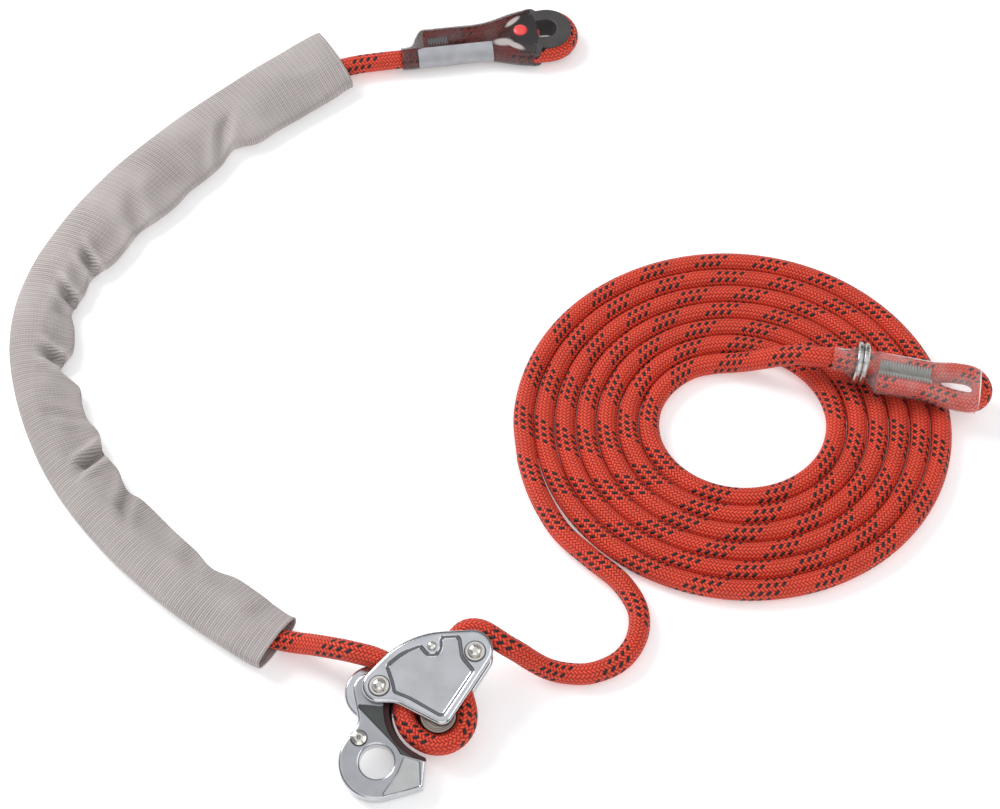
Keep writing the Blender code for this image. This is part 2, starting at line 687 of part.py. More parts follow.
def bollard_screw(frame):
    tip = CHANNEL_BACK + BOLLARD_SCREW_DEPTH
    profile = [(0, tip), (BOLLARD_SCREW_RADIUS, tip), (BOLLARD_SCREW_RADIUS, REAR_HEAD_HEIGHT),
               (REAR_HEAD_RADIUS, REAR_HEAD_HEIGHT), (REAR_HEAD_RADIUS, 0), (0, 0)]
    screw = turned("bollard_screw", profile, 24)
    smooth_shading(screw)
    finish(screw, STEEL, frame, (*BOLLARD_PLACE, 0))


# Cam arm: it turns about the pivot, between its two washers
def cam_arm(frame):
    eye_lobe = (ARM_EYE, ARM_EYE_LOBE_RADIUS)
    edge = ARM_EDGE_BEVEL
    discs = [ARM_HUB_LOBE, ARM_SHOULDER, ARM_WAIST, eye_lobe, ARM_HEEL, ARM_TOE,
             ARM_ROPE_SEAT]
    outlines = [belt(discs, edge), circle((0, 0), PIVOT_BUSH_RADIUS + FIT_GAP + edge),
                circle(ARM_EYE, ARM_EYE_RADIUS + edge, 36),
                circle(ARM_RIVET_PLACE, ARM_RIVET_SHANK + FIT_GAP + edge)]
    arm = prism("cam_arm", outlines, ARM_BACK, ARM_FRONT, edge)
    finish(arm, ARM_ALUMINIUM, frame)
    gusset = belt([GUSSET_TOE, GUSSET_LOW, GUSSET_HIGH, ((0, 0), -GUSSET_HUB_RADIUS),
                   GUSSET_TOP, (ARM_EYE, -GUSSET_EYE_RADIUS)])
    cut_recess(arm, "arm_gusset_cutter", gusset, ARM_FRONT, GUSSET_DEPTH, frame)
    pocket = belt([POCKET_LOW, POCKET_HEEL, POCKET_TOE, POCKET_TOP,
                   (ARM_EYE, -POCKET_EYE_RADIUS)])
    cut_recess(arm, "arm_pocket_cutter", pocket, ARM_FRONT, POCKET_DEPTH, frame)


def arm_washers(frame):
    inner = PIVOT_BUSH_RADIUS + FIT_GAP
    rear = CHANNEL_BACK + FIT_GAP
    front = CHANNEL_FRONT - FIT_GAP - ARM_WASHER_THICKNESS
    for name, bottom in (("arm_washer_rear", rear), ("arm_washer_front", front)):
        washer = turned_ring(name, inner, ARM_WASHER_RADIUS,
                             bottom, bottom + ARM_WASHER_THICKNESS, 24)
        finish(washer, POLYMER_WHITE, frame)


def arm_rivet(frame):
    seat = ARM_FRONT + FIT_GAP
    top = seat + ARM_RIVET_HEAD_HEIGHT
    edge = (seat + top) / 2
    tail = ARM_BACK - FIT_GAP
    tail_radius = (ARM_RIVET_SHANK + ARM_RIVET_HEAD_RADIUS) / 2
    profile = [(0, edge), (ARM_RIVET_BORE, edge), (ARM_RIVET_BORE, top),
               (ARM_RIVET_SHANK, top), (ARM_RIVET_HEAD_RADIUS, edge),
               (ARM_RIVET_HEAD_RADIUS, seat), (ARM_RIVET_SHANK, seat),
               (ARM_RIVET_SHANK, tail), (tail_radius, tail),
               (ARM_RIVET_SHANK, tail - ARM_RIVET_TAIL_HEIGHT),
               (0, tail - ARM_RIVET_TAIL_HEIGHT)]
    rivet = turned("arm_rivet", profile, 24)
    smooth_shading(rivet)
    finish(rivet, STEEL, frame, (*ARM_RIVET_PLACE, 0))


def adjuster():
    frame = make_frame("adjuster_frame", DEVICE_MATRIX)
    rear_plate(frame)
    front_plate(frame)
    fasteners(frame)
    bollard(frame)
    bollard_screw(frame)
    cam_arm(frame)
    arm_washers(frame)
    arm_rivet(frame)


# Thimble eye. Its rope runs round the ring and back beside itself.
def eye_route():
    widening = EYE_LOOP_RADIUS - EYE_LEG_SPREAD
    lower = [(COVER_START, -EYE_LEG_SPREAD), (COVER_FLARE_END, -EYE_LEG_SPREAD)]
    lower += [(-THIMBLE_NOSE_REACH * along, -EYE_LEG_SPREAD - widening * out)
              for along, out in EYE_LEG_SHARES]
    arc = [(EYE_LOOP_RADIUS * math.sin(angle), -EYE_LOOP_RADIUS * math.cos(angle))
           for angle in [math.pi * i / 12 for i in range(13)]]
    upper = [(s, -t) for s, t in reversed(lower)]
    upper[-1] = (EYE_ROPE_END, EYE_LEG_SPREAD)
    return smooth_route([(s, t, 0) for s, t in lower + arc + upper])


def eye_rope(frame, route):
    points = resample(route, TIGHT_POINT_SPACING)
    finish(tube("rope_eye", points, ROPE_RADIUS, ROPE_SIDES_RESOLUTION), ROPE_RED, frame)


def thimble_lug(name, side, frame):
    inset = LUG_CORNER
    left, right = LUG_START + inset, LUG_START + LUG_LENGTH - inset
    low, high = sorted((side * (LUG_ROOT + inset), side * (LUG_REACH - inset)))
    corners = [(left, low), (right, low), (right, high), (left, high)]
    edge = THIMBLE_EDGE_BEVEL
    outline = belt([(corner, inset) for corner in corners], edge, math.radians(30))
    lug = prism(name, [outline], -THIMBLE_HALF_THICKNESS, THIMBLE_HALF_THICKNESS, edge)
    return as_cutter(lug, frame)


def block(name, size, place, frame):
    bpy.ops.mesh.primitive_cube_add(size=1)
    item = bpy.context.object
    item.name = name
    item.data.transform(Matrix.Diagonal((*size, 1)))
    return as_cutter(item, frame, place)


def post(name, radius, half_height, place, frame):
    profile = [(0, half_height), (radius, half_height), (radius, -half_height),
               (0, -half_height)]
    return as_cutter(turned(name, profile, 24), frame, place)


def thimble(frame, route):
    nose = (-THIMBLE_NOSE_REACH, 0)
    edge = THIMBLE_EDGE_BEVEL
    outline = belt([((0, 0), THIMBLE_FLANGE_RADIUS), (nose, THIMBLE_NOSE_RADIUS)], edge)
    bore = belt([((THIMBLE_BORE_LEAD, 0), THIMBLE_BORE_RADIUS),
                 ((THIMBLE_BORE_LEAD - THIMBLE_BORE_SHIFT, 0), THIMBLE_BORE_RADIUS)], -edge)
    body = prism("thimble", [outline, bore], -THIMBLE_HALF_THICKNESS,
                 THIMBLE_HALF_THICKNESS, edge)
    finish(body, THIMBLE_BLACK, frame)
    boolean(body, thimble_lug("upper_lug", 1, frame), "UNION")
    boolean(body, thimble_lug("lower_lug", -1, frame), "UNION")
    tunnel = tube("thimble_groove_cutter", resample(route, TIGHT_POINT_SPACING),
                  ROPE_RADIUS + FIT_GAP, ROPE_SIDES_RESOLUTION)
    boolean(body, as_cutter(meshed(tunnel), frame))
    step = THIMBLE_HALF_THICKNESS - THIMBLE_NOSE_HALF + CUT_OVERRUN
    length = THIMBLE_NOSE_REACH + THIMBLE_NOSE_RADIUS + THIMBLE_NOSE_STEP + CUT_OVERRUN
    size = (length, 2 * (LUG_ROOT + CUT_OVERRUN), step)
    middle = THIMBLE_NOSE_STEP - length / 2
    for name, side in (("nose_top_cutter", 1), ("nose_bottom_cutter", -1)):
        place = (middle, 0, side * (THIMBLE_NOSE_HALF + step / 2))
        boolean(body, block(name, size, place, frame))
    boolean(body, post("button_hole_cutter", KEEPER_BUTTON_RADIUS + FIT_GAP,
                       THIMBLE_HALF_THICKNESS, (*nose, 0), frame))
    slot = (THIMBLE_NOSE_REACH + KEEPER_POST_PLACE, KEEPER_TONGUE_WIDTH + 2 * FIT_GAP,
            KEEPER_TONGUE_HEIGHT + 2 * FIT_GAP)
    place = ((KEEPER_POST_PLACE - THIMBLE_NOSE_REACH) / 2, 0, 0)
    boolean(body, block("tongue_slot_cutter", slot, place, frame))


# Keeper: a red button in the thimble's nose, whose tongue holds a lip in the eye
def connector_keeper(frame):
    base = THIMBLE_NOSE_HALF - 2 * FIT_GAP
    low = 2 * FIT_GAP - THIMBLE_NOSE_HALF
    profile = dome_profile(KEEPER_BUTTON_RADIUS, base, KEEPER_BUTTON_DOME)
    profile += [(KEEPER_BUTTON_RADIUS, low), (0, low)]
    button = turned("connector_keeper", profile, 24)
    finish(button, KEEPER_RED, frame, (-THIMBLE_NOSE_REACH, 0, 0))
    length = THIMBLE_NOSE_REACH + KEEPER_POST_PLACE
    size = (length, KEEPER_TONGUE_WIDTH, KEEPER_TONGUE_HEIGHT)
    place = ((KEEPER_POST_PLACE - THIMBLE_NOSE_REACH) / 2, 0, 0)
    boolean(button, block("keeper_tongue", size, place, frame), "UNION")
    boolean(button, post("keeper_lip", KEEPER_POST_RADIUS, KEEPER_POST_HALF,
                         (KEEPER_POST_PLACE, 0, 0), frame), "UNION")


def eye_cover(frame):
    collar = ROPE_RADIUS + FIT_GAP + COVER_WALL
    wide = collar + EYE_LEG_SPREAD
    tall = THIMBLE_NOSE_HALF + KEEPER_BUTTON_DOME + FIT_GAP + COVER_WALL
    rings = [(COVER_START, -EYE_LEG_SPREAD, collar, collar),
             (COVER_START + COVER_COLLAR_LENGTH, -EYE_LEG_SPREAD, collar, collar)]
    rings += [(COVER_FLARE_END * along, 0, wide * out, collar + (tall - collar) * rise)
              for along, out, rise in COVER_SHARES]
    rings.append((COVER_END, 0, wide * COVER_MOUTH_SHARE, tall))
    shell = loft("eye_cover", [stadium_ring(*ring) for ring in rings], COVER_WALL)
    smooth_shading(shell)
    finish(shell, SMOKE_COVER, frame)


def label_section(place):
    radius = ROPE_RADIUS + COVER_WALL + LABEL_THICKNESS + 2 * FIT_GAP
    points = [Vector((place, LABEL_INNER_EDGE, radius))]
    for i in range(7):
        angle = math.pi / 2 + (LABEL_TO - math.pi / 2) * i / 6
        points.append(Vector((place, radius * math.cos(angle) - EYE_LEG_SPREAD,
                              radius * math.sin(angle))))
    return points


def eye_label(frame):
    rings = [label_section(LABEL_END - LABEL_LENGTH * (3 - i) / 3) for i in range(4)]
    for ring in rings:
        ring.reverse()
    label = loft("eye_label", rings, LABEL_THICKNESS, closed=False)
    smooth_shading(label)
    finish(label, LABEL_WHITE, frame)


# Sewn threads: a raised pad in the valley between the rope's two legs
def stitching(name, start, length, spread, frame):
    rest = math.sqrt(ROPE_RADIUS ** 2 - (spread - STITCH_WIDTH / 2) ** 2) + FIT_GAP
    bpy.ops.mesh.primitive_cube_add(size=1)
    pad = bpy.context.object
    pad.name = name
    pad.data.transform(Matrix.Diagonal((length, STITCH_WIDTH, STITCH_THICKNESS, 1)))
    for group in list(pad.users_collection):
        group.objects.unlink(pad)
    PARTS.objects.link(pad)
    bevel(pad, FIT_GAP, 1)
    finish(pad, THREAD_GREY, frame, (start + length / 2, 0, rest + STITCH_THICKNESS / 2))


def thimble_eye():
    frame = make_frame("eye_frame", EYE_MATRIX)
    route = eye_route()
    eye_rope(frame, route)
    thimble(frame, route)
    connector_keeper(frame)
    eye_cover(frame)
    eye_label(frame)
    stitching("eye_stitching", EYE_STITCH_START, EYE_STITCH_LENGTH, EYE_LEG_SPREAD, frame)


# Sewn stopper end
def end_route():
    spread, loop = END_LEG_SPREAD, END_LOOP_RADIUS
    length = END_LOOP_PLACE - END_DOUBLE_START
    leg = [(END_DOUBLE_START + length * along, spread + (loop - spread) * out)
           for along, out in END_LEG_SHARES]
    arc = [(END_LOOP_PLACE + loop * math.sin(angle), loop * math.cos(angle))
           for angle in [math.pi * i / 10 for i in range(11)]]
    back = [(x, -y) for x, y in reversed(leg)]
    start = [(END_COLLAR_START, END_COLLAR_OFFSET), (0, END_COLLAR_OFFSET)]
    route = start + leg + arc + back + [(END_ROPE_END, -spread)]
    return smooth_route([(x, y, 0) for x, y in route])


def end_rope(frame):
    points = resample(end_route(), TIGHT_POINT_SPACING)
    finish(tube("rope_end_eye", points, ROPE_RADIUS, ROPE_SIDES_RESOLUTION), ROPE_RED, frame)


def end_cover(frame):
    collar = ROPE_RADIUS + FIT_GAP + COVER_WALL
    wide = collar + END_LEG_SPREAD
    tip = collar + END_LOOP_RADIUS
    offset = END_COLLAR_OFFSET
    flare = RING_THICKNESS * END_FLARE_SHARE
    rings = [(END_COLLAR_START, offset, collar, collar),
             (END_COLLAR_START * END_COLLAR_SHARE, offset, collar, collar),
             (-flare, offset, END_FLARE_RADIUS, END_FLARE_RADIUS),
             (flare, offset, END_FLARE_RADIUS, END_FLARE_RADIUS)]
    rings += [(END_LOOP_PLACE * along, 0, wide + (tip - wide) * out, collar * height)
              for along, out, height in END_COVER_SHARES]
    rings.append((END_COVER_END, 0, wide + (tip - wide) * END_MOUTH_SHARE, collar))
    shell = loft("end_cover", [stadium_ring(*ring) for ring in rings], COVER_WALL)
    smooth_shading(shell)
    finish(shell, CLEAR_COVER, frame)


def stop_rings(frame):
    inner = END_FLARE_RADIUS + RING_SEAT_GAP
    edge = RING_THICKNESS / 4
    for name, side in (("stop_ring_1", -1), ("stop_ring_2", 1)):
        middle = side * (RING_THICKNESS + FIT_GAP) / 2
        low, high = middle - RING_THICKNESS / 2, middle + RING_THICKNESS / 2
        profile = [(inner, high), (RING_RADIUS - edge, high), (RING_RADIUS, high - edge),
                   (RING_RADIUS, low + edge), (RING_RADIUS - edge, low), (inner, low)]
        ring = turned(name, profile, 40, ring=True)
        smooth_shading(ring, math.radians(60))
        finish(ring, RING_STEEL, frame, (0, END_COLLAR_OFFSET, 0))
        ring.rotation_euler = (0, math.pi / 2, 0)


def stopper_end():
    frame = make_frame("end_frame", END_MATRIX)
    end_rope(frame)
    end_cover(frame)
    stitching("end_stitching", END_STITCH_START, END_STITCH_LENGTH, END_LEG_SPREAD, frame)
    stop_rings(frame)


# Free rope
def upper_route():
    start = EYE_MATRIX @ Vector((COVER_START, -EYE_LEG_SPREAD, 0))
    return smooth_route([start] + UPPER_ROUTE + [device_point(*DEVICE_ROUTE[0])])


def device_route():
    return smooth_route([device_point(u, v) for u, v in DEVICE_ROUTE])


def coil_point(turned_by):
    radius = COIL_OUTER_RADIUS - (ROPE_DIAMETER + COIL_GAP) * turned_by / math.tau
    angle = COIL_START_ANGLE - turned_by
    return Vector((COIL_X + (radius + COIL_WIDENING) * math.cos(angle),
                   COIL_Y + (radius - COIL_WIDENING) * math.sin(angle), ROPE_RADIUS))


def coil_route():
    step = math.tau / COIL_POINTS_PER_TURN
    count = round(COIL_TURNS * COIL_POINTS_PER_TURN)
    route = [coil_point(step * i) for i in range(count + 1)]
    centre = Vector((COIL_X, COIL_Y, ROPE_RADIUS))
    route[-1] += (centre - route[-1]).normalized() * COIL_END_DRIFT
    return route


def print_coil_gap(route):
    loop = COIL_POINTS_PER_TURN
    least = min((route[i] - route[k]).length for i in range(len(route))
                for k in range(i + loop // 2, len(route)))
    print("coil: least gap to itself", round(1000 * (least - ROPE_DIAMETER), 2), "mm")


def tail_route():
    return smooth_route([device_point(*DEVICE_ROUTE[-1])] + TAIL_ROUTE + [coil_point(0)])


def end_run_route(coil):
    finish_point = END_MATRIX @ Vector((END_COLLAR_START, END_COLLAR_OFFSET, 0))
    return smooth_route([coil[-1]] + INNER_ROUTE + [finish_point])


# A run's ends leave straight out of the pieces it joins, so that the ends lie flat
# against each other.
def straight_end(place, towards):
    along = (towards - place).normalized()
    return [place + along * FIT_GAP, place + along * (FIT_GAP + STRAIGHT_END)]


def free_run(name, route, before, after):
    clear = 2 * STRAIGHT_END
    middle = resample(route, ROPE_POINT_SPACING / 2, clear, clear)
    start = straight_end(before[-1], 2 * before[-1] - before[-2])
    stop = straight_end(after[0], 2 * after[0] - after[1])
    points = start + middle + stop[::-1]
    finish(tube(name, points, ROPE_RADIUS, ROPE_SIDES_RESOLUTION), ROPE_RED)


def free_rope(upper, coil, eye_start, end_start):
    wrap = resample(device_route(), TIGHT_POINT_SPACING)
    finish(tube("rope_device_wrap", wrap, ROPE_RADIUS, ROPE_SIDES_RESOLUTION), ROPE_RED)
    finish(tube("rope_coil", coil, ROPE_RADIUS, 1), ROPE_RED)
    free_run("rope_upper_run", upper, eye_start[::-1], wrap)
    free_run("rope_tail_run", tail_route(), wrap, coil)
    free_run("rope_end_run", end_run_route(coil), coil, end_start)


# Sleeve: a flat woven tube pushed into folds along the inside of the bend
def sleeve_ring(place, outward, outer, inner, lift):
    middle, half = (outer - inner) / 2, (outer + inner) / 2
    ring = []
    for k in range(SLEEVE_POINTS_AROUND):
        angle = math.tau * (k + 0.5) / SLEEVE_POINTS_AROUND
        rise = abs(math.sin(angle)) ** SLEEVE_EDGE_POWER
        height = SLEEVE_HEIGHT / 2 * (1 + math.copysign(rise, math.sin(angle)))
        spot = place + outward * (middle + half * math.cos(angle))
        ring.append(Vector((spot.x, spot.y, lift + height)))
    return ring


def protective_sleeve(upper):
    count = len(SLEEVE_OUTER_SHARES)
    rings = []
    for i in range(count):
        distance = SLEEVE_START + SLEEVE_LENGTH * i / (count - 1)
        place = point_at(upper, distance)
        along = point_at(upper, distance + ROPE_RADIUS) - point_at(upper, distance - ROPE_RADIUS)
        outward = Vector((along.y, -along.x, 0)).normalized()
        lift = max(0, place.z - SLEEVE_RISE_START)
        rings.append(sleeve_ring(place, outward, SLEEVE_REACH * SLEEVE_OUTER_SHARES[i],
                                 SLEEVE_REACH * SLEEVE_INNER_SHARES[i], lift))
    sleeve = loft("protective_sleeve", rings, SLEEVE_WALL)
    smooth_shading(sleeve, math.radians(80))
    finish(sleeve, SLEEVE_GREY)


def main():
    upper, coil = upper_route(), coil_route()
    adjuster()
    thimble_eye()
    stopper_end()
    eye_start = [EYE_MATRIX @ point for point in eye_route()[:2]]
    end_start = [END_MATRIX @ point for point in end_route()[:2]]
    free_rope(upper, coil, eye_start, end_start)
    protective_sleeve(upper)
    print_coil_gap(coil)


clear_scene()
PARTS, CUTTERS = make_collections()
main()
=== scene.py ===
import logging
import math
from collections.abc import Callable
from dataclasses import dataclass
from enum import Enum, IntEnum

import bmesh
import bpy
from mathutils import Matrix, Vector, noise
from mathutils.geometry import delaunay_2d_cdt, tessellate_polygon


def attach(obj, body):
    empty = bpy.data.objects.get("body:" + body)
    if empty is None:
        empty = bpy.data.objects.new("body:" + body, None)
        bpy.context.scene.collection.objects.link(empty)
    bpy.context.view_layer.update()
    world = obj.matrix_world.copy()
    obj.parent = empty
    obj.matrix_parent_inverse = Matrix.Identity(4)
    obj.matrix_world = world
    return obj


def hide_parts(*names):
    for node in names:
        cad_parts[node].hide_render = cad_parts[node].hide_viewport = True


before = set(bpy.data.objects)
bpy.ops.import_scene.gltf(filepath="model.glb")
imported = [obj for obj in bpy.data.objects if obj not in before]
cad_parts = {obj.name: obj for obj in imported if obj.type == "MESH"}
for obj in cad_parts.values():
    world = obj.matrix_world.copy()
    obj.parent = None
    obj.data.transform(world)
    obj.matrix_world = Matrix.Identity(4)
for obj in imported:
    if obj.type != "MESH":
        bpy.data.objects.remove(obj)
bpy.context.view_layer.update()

LOG = logging.getLogger("lanyard")
Point = tuple[float, float]
Disc = tuple[Point, float]
Colour = tuple[float, float, float]
Item = bpy.types.Object
Material = bpy.types.Material
Socket = bpy.types.NodeSocket

ROPE_RADIUS = 0.006
FIT_GAP = 0.0003
ROUTE_PIECES = 16
MERGE_DISTANCE = 1e-6
NO_AREA = 1e-14
NO_LENGTH_SQUARED = 1e-16
THREAD_SIDES = 8
THREAD_STEPS = 8


class Body(Enum):
    """The bodies that a piece can ride on."""

    LANYARD = "lanyard"
    ARM = "arm"


class PlateMetal(IntEnum):
    """The side plates' materials, in order."""

    RIM = 0
    PANEL = 1
    WALL_SHADE = 2


class ArmMetal(IntEnum):
    """The cam arm's materials, in order."""

    RIM = 0
    FACE = 1
    GUSSET = 2
    POCKET = 3
    SEAT_SHADE = 4


def hand_in(piece: Item, body: Body, *nodes: str) -> None:
    """Gives a piece to its body, in place of CAD nodes if any are named, and reports it.

    Args:
        piece: the piece.
        body: the body that it rides on.
        nodes: the CAD nodes that it replaces.
    """
    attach(piece, body.value)
    if nodes:
        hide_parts(*nodes)
    LOG.info("%s built, on %s", piece.name, body.value)


def add_object(name: str, data: bpy.types.ID) -> Item:
    """Adds an object to the scene.

    Args:
        name: its name.
        data: its mesh, camera or lamp.

    Returns:
        The new object.
    """
    item = bpy.data.objects.new(name, data)
    bpy.context.scene.collection.objects.link(item)
    return item


# Smooth routes through chosen points
SPAN_KNOTS = {1: ((0, 1), (1, 2), (2, 3)), 2: ((0, 2), (1, 3)), 3: ((1, 2),)}


def span_point(four: list[Vector], knots: list[float], at: float) -> Vector:
    """Finds one point of the curve between the middle two of four points.

    Args:
        four: four points in a row.
        knots: the curve's value at each of them.
        at: the value wanted.

    Returns:
        The point there.
    """
    level = list(four)
    for depth in (1, 2, 3):
        nearest = []
        for i in range(len(level) - 1):
            low, high = SPAN_KNOTS[depth][i]
            nearest.append(level[i].lerp(level[i + 1], (at - knots[low]) / (knots[high] - knots[low])))
        level = nearest
    return level[0]


def smooth_route(points: list, pieces: int = ROUTE_PIECES) -> list[Vector]:
    """Draws a smooth curve through points.

    Args:
        points: the points that it passes through.
        pieces: how many short runs lie between two of them.

    Returns:
        The curve's points.
    """
    route = [Vector(point) for point in points]
    ends = [2 * route[0] - route[1]] + route + [2 * route[-1] - route[-2]]
    out = []
    for i in range(1, len(ends) - 2):
        four = ends[i - 1:i + 3]
        knots = [0.0]
        for a, b in zip(four, four[1:]):
            knots.append(knots[-1] + math.sqrt((b - a).length))
        out += [span_point(four, knots, knots[1] + (knots[2] - knots[1]) * k / pieces)
                for k in range(pieces)]
    out.append(route[-1].copy())
    return out


def route_length(route: list[Vector]) -> float:
    """Returns a route's length."""
    return sum((b - a).length for a, b in zip(route, route[1:]))


def resample(route: list[Vector], spacing: float) -> list[Vector]:
    """Reads a route at even steps.

    Args:
        route: the route's points.
        spacing: about how far apart the new points lie.

    Returns:
        The new points, both ends among them.
    """
    count = max(2, round(route_length(route) / spacing))
    step = route_length(route) / count
    out, behind, i = [route[0].copy()], 0.0, 0
    for n in range(1, count):
        want = step * n
        while behind + (route[i + 1] - route[i]).length < want:
            behind += (route[i + 1] - route[i]).length
            i += 1
        out.append(route[i].lerp(route[i + 1], (want - behind) / (route[i + 1] - route[i]).length))
    out.append(route[-1].copy())
    return out


def ease(low: float, high: float, at: float) -> float:
    """Returns a smooth rise from 0 at low to 1 at high."""
    share = min(1.0, max(0.0, (at - low) / (high - low)))
    return share * share * (3 - 2 * share)


def belt(discs: list[Disc], inset: float = 0, arc_step: float = math.radians(5)) -> list[Point]:
    """Draws the outline of a belt laid round discs.

    Args:
        discs: centre and radius of each, anticlockwise; a negative radius makes a hollow.
        inset: how far inside the belt the outline runs.
        arc_step: the widest step along an arc.

    Returns:
        The outline's points, as many for every inset.
    """
    leave = []
    for i, (centre, radius) in enumerate(discs):
        other, other_radius = discs[(i + 1) % len(discs)]
        run = Vector(other) - Vector(centre)
        leave.append(math.atan2(run.y, run.x) - math.acos((radius - other_radius) / run.length))
    points = []
    for i, (centre, radius) in enumerate(discs):
        sweep = (leave[i] - leave[i - 1]) % math.tau
        if radius < 0:
            sweep -= math.tau
        pieces = max(1, math.ceil(abs(sweep) / arc_step))
        for k in range(pieces + 1):
            angle = leave[i - 1] + sweep * k / pieces
            points.append((centre[0] + (radius - inset) * math.cos(angle),
                           centre[1] + (radius - inset) * math.sin(angle)))
    return points


def dense_belt(discs: list[Disc], inset: float, spacing: float) -> list[Point]:
    """Draws a belt's outline with points close together on its straight runs too.

    Args:
        discs: centre and radius of each, anticlockwise.
        inset: how far inside the belt the outline runs.
        spacing: the widest step along a straight run.

    Returns:
        The outline's points, as many for every inset.
    """
    base, points, out = belt(discs), belt(discs, inset), []
    for i, point in enumerate(points):
        n = (i + 1) % len(points)
        pieces = max(1, math.ceil(math.dist(base[i], base[n]) / spacing))
        out += [(point[0] + (points[n][0] - point[0]) * k / pieces,
                 point[1] + (points[n][1] - point[1]) * k / pieces) for k in range(pieces)]
    return out


def inside(point: Point, outline: list[Point]) -> bool:
    """Tells whether a point lies inside an outline.

    Args:
        point: the point.
        outline: the outline's points in order.

    Returns:
        True if it does.
    """
    x, y = point
    hit = False
    for (x0, y0), (x1, y1) in zip(outline, outline[1:] + outline[:1]):
        if (y0 > y) != (y1 > y) and x < x0 + (x1 - x0) * (y - y0) / (y1 - y0):
            hit = not hit
    return hit


def edge_distance(point: Point, outline: list[Point]) -> float:
    """Measures how far a point lies from an outline.

    Args:
        point: the point.
        outline: the outline's points in order.

    Returns:
        The distance.
    """
    x, y = point
    best = 1.0
    for (x0, y0), (x1, y1) in zip(outline, outline[1:] + outline[:1]):
        run_x, run_y = x1 - x0, y1 - y0
        size = run_x * run_x + run_y * run_y
        along = (x - x0) * run_x + (y - y0) * run_y
        share = min(1.0, max(0.0, along / size)) if size > NO_LENGTH_SQUARED else 0.0
        best = min(best, math.hypot(x - x0 - run_x * share, y - y0 - run_y * share))
    return best


def circle(centre: Point, radius: float, steps: int = 48) -> list[Point]:
    """Returns the points of a circle."""
    return [(centre[0] + radius * math.cos(math.tau * i / steps),
             centre[1] + radius * math.sin(math.tau * i / steps)) for i in range(steps)]


class Shape:
    """Gathers the points and faces of one piece, and makes it."""

    def __init__(self, name: str) -> None:
        """Starts an empty piece.

        Args:
            name: its name.
        """
        self.name = name
        self.points: list[Vector] = []
        self.faces: list[tuple[int, ...]] = []
        self.finishes: list[int] = []
        self.flat: list[bool] = []
        self.corners: list[list[Point]] = []

    def ring(self, points: list) -> list[int]:
        """Adds points.

        Args:
            points: their places.

        Returns:
            Their numbers.
        """
        start = len(self.points)
        self.points += [Vector(point) for point in points]
        return list(range(start, len(self.points)))

    def face(self, numbers: tuple, finish: int = 0, flat: bool = False, uv: list | None = None) -> None:
        """Adds a face.

        Args:
            numbers: its points.
            finish: which of the piece's materials it has.
            flat: whether its shading is flat.
            uv: its corners' places in the surface's own coordinates.
        """
        self.faces.append(tuple(numbers))
        self.finishes.append(finish)
        self.flat.append(flat)
        self.corners.append(uv or [(0, 0)] * len(numbers))

    def bridge(self, first: list[int], second: list[int], finish: int = 0) -> None:
        """Joins two closed rings by a strip of faces.

        Args:
            first: the ring on the outer side.
            second: the ring on the inner side.
            finish: which material the strip has.
        """
        for i in range(len(first)):
            n = (i + 1) % len(first)
            self.face((first[i], first[n], second[n], second[i]), finish)

    def stack(self, rings: list[list[int]], finish: int = 0) -> None:
        """Joins each ring to the next."""
        for first, second in zip(rings, rings[1:]):
            self.bridge(first, second, finish)

    def turned(self, centre: Point, profile: list | tuple, sides: int = 48) -> list[list[int]]:
        """Adds a ring round a centre for each radius and height, and returns the rings."""
        return [self.ring([(x, y, z) for x, y in circle(centre, radius, sides)]) for radius, z in profile]

    def tube(self, rings: list[list[int]], places: list[float]) -> None:
        """Joins rings into a tube whose own coordinates run round it and along it.

        Args:
            rings: its rings.
            places: how far along it each ring lies.
        """
        sides = len(rings[0])
        for i in range(len(rings) - 1):
            for k in range(sides):
                n = (k + 1) % sides
                a, b = k / sides, (k + 1) / sides
                self.face((rings[i][k], rings[i][n], rings[i + 1][n], rings[i + 1][k]),
                          uv=[(a, places[i]), (b, places[i]), (b, places[i + 1]), (a, places[i + 1])])

    def fill(self, rings: list[list[int]], finish: int = 0, flipped: bool = False) -> None:
        """Fills a flat face that may have holes.

        Args:
            rings: the outline's ring and those of its holes.
            finish: which material it has.
            flipped: whether it faces down.
        """
        order = [number for ring in rings for number in ring]
        flat = [[Vector((*self.points[n].xy, 0)) for n in ring] for ring in rings]
        for corner in tessellate_polygon(flat):
            a, b, c = (order[i] for i in corner)
            turn = (self.points[b] - self.points[a]).xy.to_3d().cross(
                (self.points[c] - self.points[a]).xy.to_3d()).z
            if abs(turn) < NO_AREA:
                continue
            self.face((a, b, c) if (turn > 0) != flipped else (a, c, b), finish, flat=True)

    def make(self, finishes: list, matrix: Matrix | None = None) -> Item:
        """Makes the object.

        Args:
            finishes: its materials.
            matrix: where its own frame stands, or None for the scene's.

        Returns:
            The new object, its points already in place.
        """
        mesh = bpy.data.meshes.new(self.name)
        points = [matrix @ point for point in self.points] if matrix else self.points
        mesh.from_pydata(points, [], self.faces)
        layer = mesh.uv_layers.new(name="surface")
        flat = [corner for face in self.corners for corner in face]
        for loop, corner in zip(layer.data, flat):
            loop.uv = corner
        for polygon, finish, flat_face in zip(mesh.polygons, self.finishes, self.flat):
            polygon.material_index = finish
            polygon.use_smooth = not flat_face
        for finish in finishes:
            mesh.materials.append(finish)
        return add_object(self.name, mesh)


